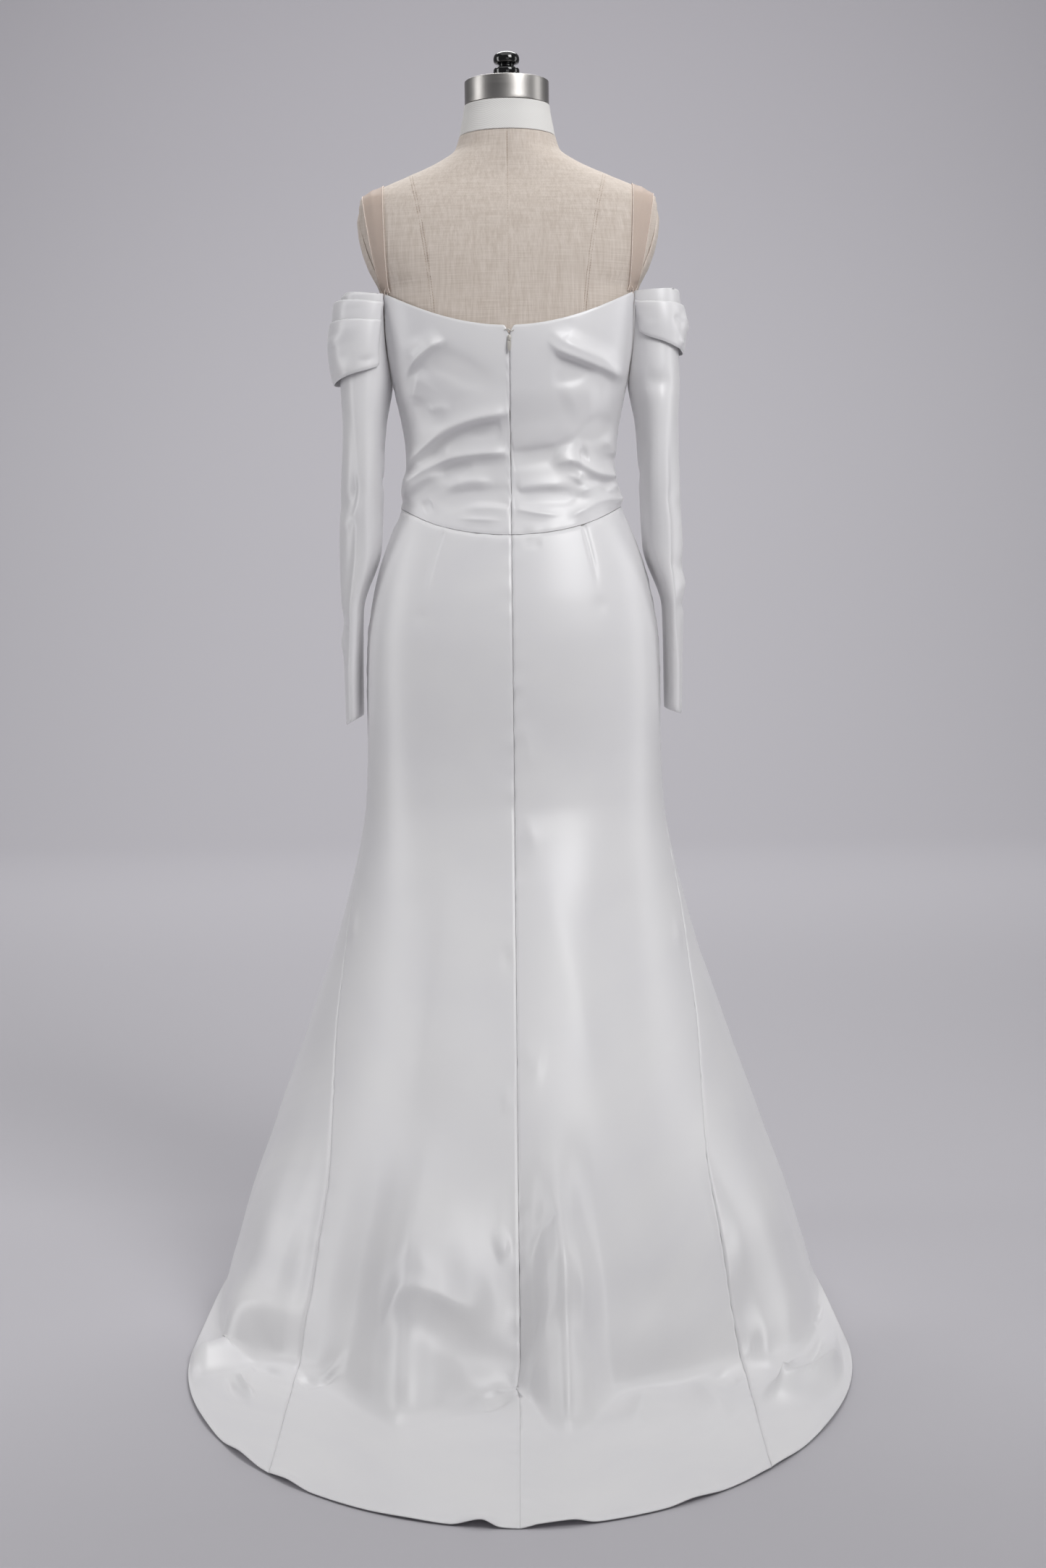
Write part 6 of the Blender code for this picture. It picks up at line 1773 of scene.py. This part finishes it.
@dataclass
class Studio:
    """The plain floor and backdrop, the soft lights and the camera."""

    camera_place: tuple[float, float, float] = (0.0105, -3.0, 0.85)
    tilt_down: float = 4.23
    roll: float = -0.65
    focal_pixels: float = 3270.0
    frame_height_pixels: int = 2167
    sensor_mm: float = 36.0

    def camera(self) -> None:
        """The camera at the photograph's place and angle."""
        data = bpy.data.cameras.new("camera")
        data.sensor_width = self.sensor_mm
        data.lens = self.focal_pixels / self.frame_height_pixels * self.sensor_mm
        data.clip_end = 50.0
        made = bpy.data.objects.new("camera", data)
        turn = Matrix.Rotation(math.radians(90 - self.tilt_down), 4, "X") @ Matrix.Rotation(math.radians(self.roll), 4, "Z")
        made.matrix_world = Matrix.Translation(self.camera_place) @ turn
        bpy.context.scene.collection.objects.link(made)
        bpy.context.scene.camera = made

    def backdrop(self) -> None:
        """A pale paper sweep: floor, a wide curve, and wall, coloured darker higher up as painted shade for the lamps'
        falloff.
        """
        material, tree, shader = new_material("studio_paper_painted_falloff")
        place = add_node(tree, "ShaderNodeTexCoord").outputs["Object"]
        height = add_node(tree, "ShaderNodeSeparateXYZ", Vector=place).outputs[2]
        # Painted shade: the paper's colour goes from #C3C1C6 below 1.2 m to a darker #9A979D at 6.5 m, standing in for
        # the light falling off up the wall.
        up = add_node(tree, "ShaderNodeMapRange", {"interpolation_type": "SMOOTHSTEP"}, Value=height, i1=1.2, i2=6.5)
        tone = add_node(
            tree, "ShaderNodeMix", {"data_type": "RGBA"}, i0=up.outputs[0], i6=linear("#C3C1C6"), i7=linear("#9A979D")
        )
        tree.links.new(tone.outputs[2], shader.inputs["Base Color"])
        shader.inputs["Roughness"].default_value = 0.75
        shader.inputs["Specular IOR Level"].default_value = 0.2
        half, wall_y, radius, top = 9.0, 8.5, 3.0, 8.0
        outline = [(-9.0, 0.0), (wall_y - radius, 0.0)]
        for turn in np.linspace(0, math.pi / 2, 24)[1:]:
            outline.append((wall_y - radius + radius * math.sin(turn), radius - radius * math.cos(turn)))
        outline.append((wall_y, top))
        points = [(x, y, z) for y, z in outline for x in (-half, half)]
        faces = [(2 * i, 2 * i + 1, 2 * i + 3, 2 * i + 2) for i in range(len(outline) - 1)]
        mesh = bpy.data.meshes.new("paper_sweep")
        mesh.from_pydata(points, [], faces)
        mesh.materials.append(material)
        mesh.shade_smooth()
        sweep = bpy.data.objects.new("paper_sweep", mesh)
        bpy.context.scene.collection.objects.link(sweep)

    def light(
        self, name: str, place: tuple, aim: tuple, size: tuple[float, float], power: float, spread: float = 180.0
    ) -> None:
        """One soft box, aimed at a point. A spread below 180 degrees gathers its light."""
        data = bpy.data.lights.new(name, "AREA")
        data.shape = "RECTANGLE"
        data.size, data.size_y = size
        data.energy = power
        data.spread = math.radians(spread)
        made = bpy.data.objects.new(name, data)
        made.location = place
        made.rotation_euler = (Vector(aim) - Vector(place)).to_track_quat("-Z", "Y").to_euler()
        bpy.context.scene.collection.objects.link(made)

    def lights(self) -> None:
        """Two tall soft boxes at the sides, a large one overhead behind the camera, and pale surroundings."""
        self.light("key_box", (1.3, -2.0, 2.7), (0, -0.1, 1.3), (1.2, 1.4), 10.5, 84)
        self.light("left_box", (-2.3, -0.3, 1.2), (0, 0, 0.8), (0.7, 2.2), 15.0)
        self.light("right_box", (2.3, 0.1, 1.2), (0, 0, 0.8), (0.7, 2.2), 9.0)
        self.light("front_box", (0.6, -3.6, 1.2), (0, -0.1, 0.9), (1.6, 1.2), 5.0)
        self.light("train_box", (0.0, 1.4, 3.2), (0, -0.6, 0.0), (2.2, 0.8), 36.0)
        self.light("floor_box", (0.0, -1.2, 4.4), (0, -1.0, 0.0), (4.6, 4.0), 46.0)
        self.light("paper_box", (0.0, 3.6, 4.6), (0, 8.0, 1.6), (6.0, 3.0), 250.0)
        world = bpy.context.scene.world or bpy.data.worlds.new("studio")
        bpy.context.scene.world = world
        world.use_nodes = True
        background = world.node_tree.nodes["Background"]
        background.inputs["Color"].default_value = linear("#D9D9DD")
        background.inputs["Strength"].default_value = 0.18

    def build(self) -> None:
        """Sets up the studio."""
        self.camera()
        self.backdrop()
        self.lights()
        bpy.context.scene.view_settings.view_transform = "Standard"


def main() -> None:
    """Builds the looks in order."""
    logging.basicConfig(level=logging.INFO, format="%(name)s %(message)s")
    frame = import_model()
    LOG.info("frame with %d nodes", len(frame["nodes"]))
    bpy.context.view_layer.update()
    Studio().build()
    finishes = Finishes()
    DressForm().build(finishes)
    Bodice().build(finishes)
    Skirt().build(finishes)
    left, right = Sleeve(-1, folds=LEFT_SLEEVE_FOLDS), Sleeve(1, folds=RIGHT_SLEEVE_FOLDS)
    left.build(finishes)
    right.build(finishes)
    for layer in arm_layers(left, right):
        layer.build(finishes)
    ShoulderStrap(-1).build(finishes)
    ShoulderStrap(1).build(finishes)
    Zip().build(finishes)


if __name__ == "__main__":
    main()
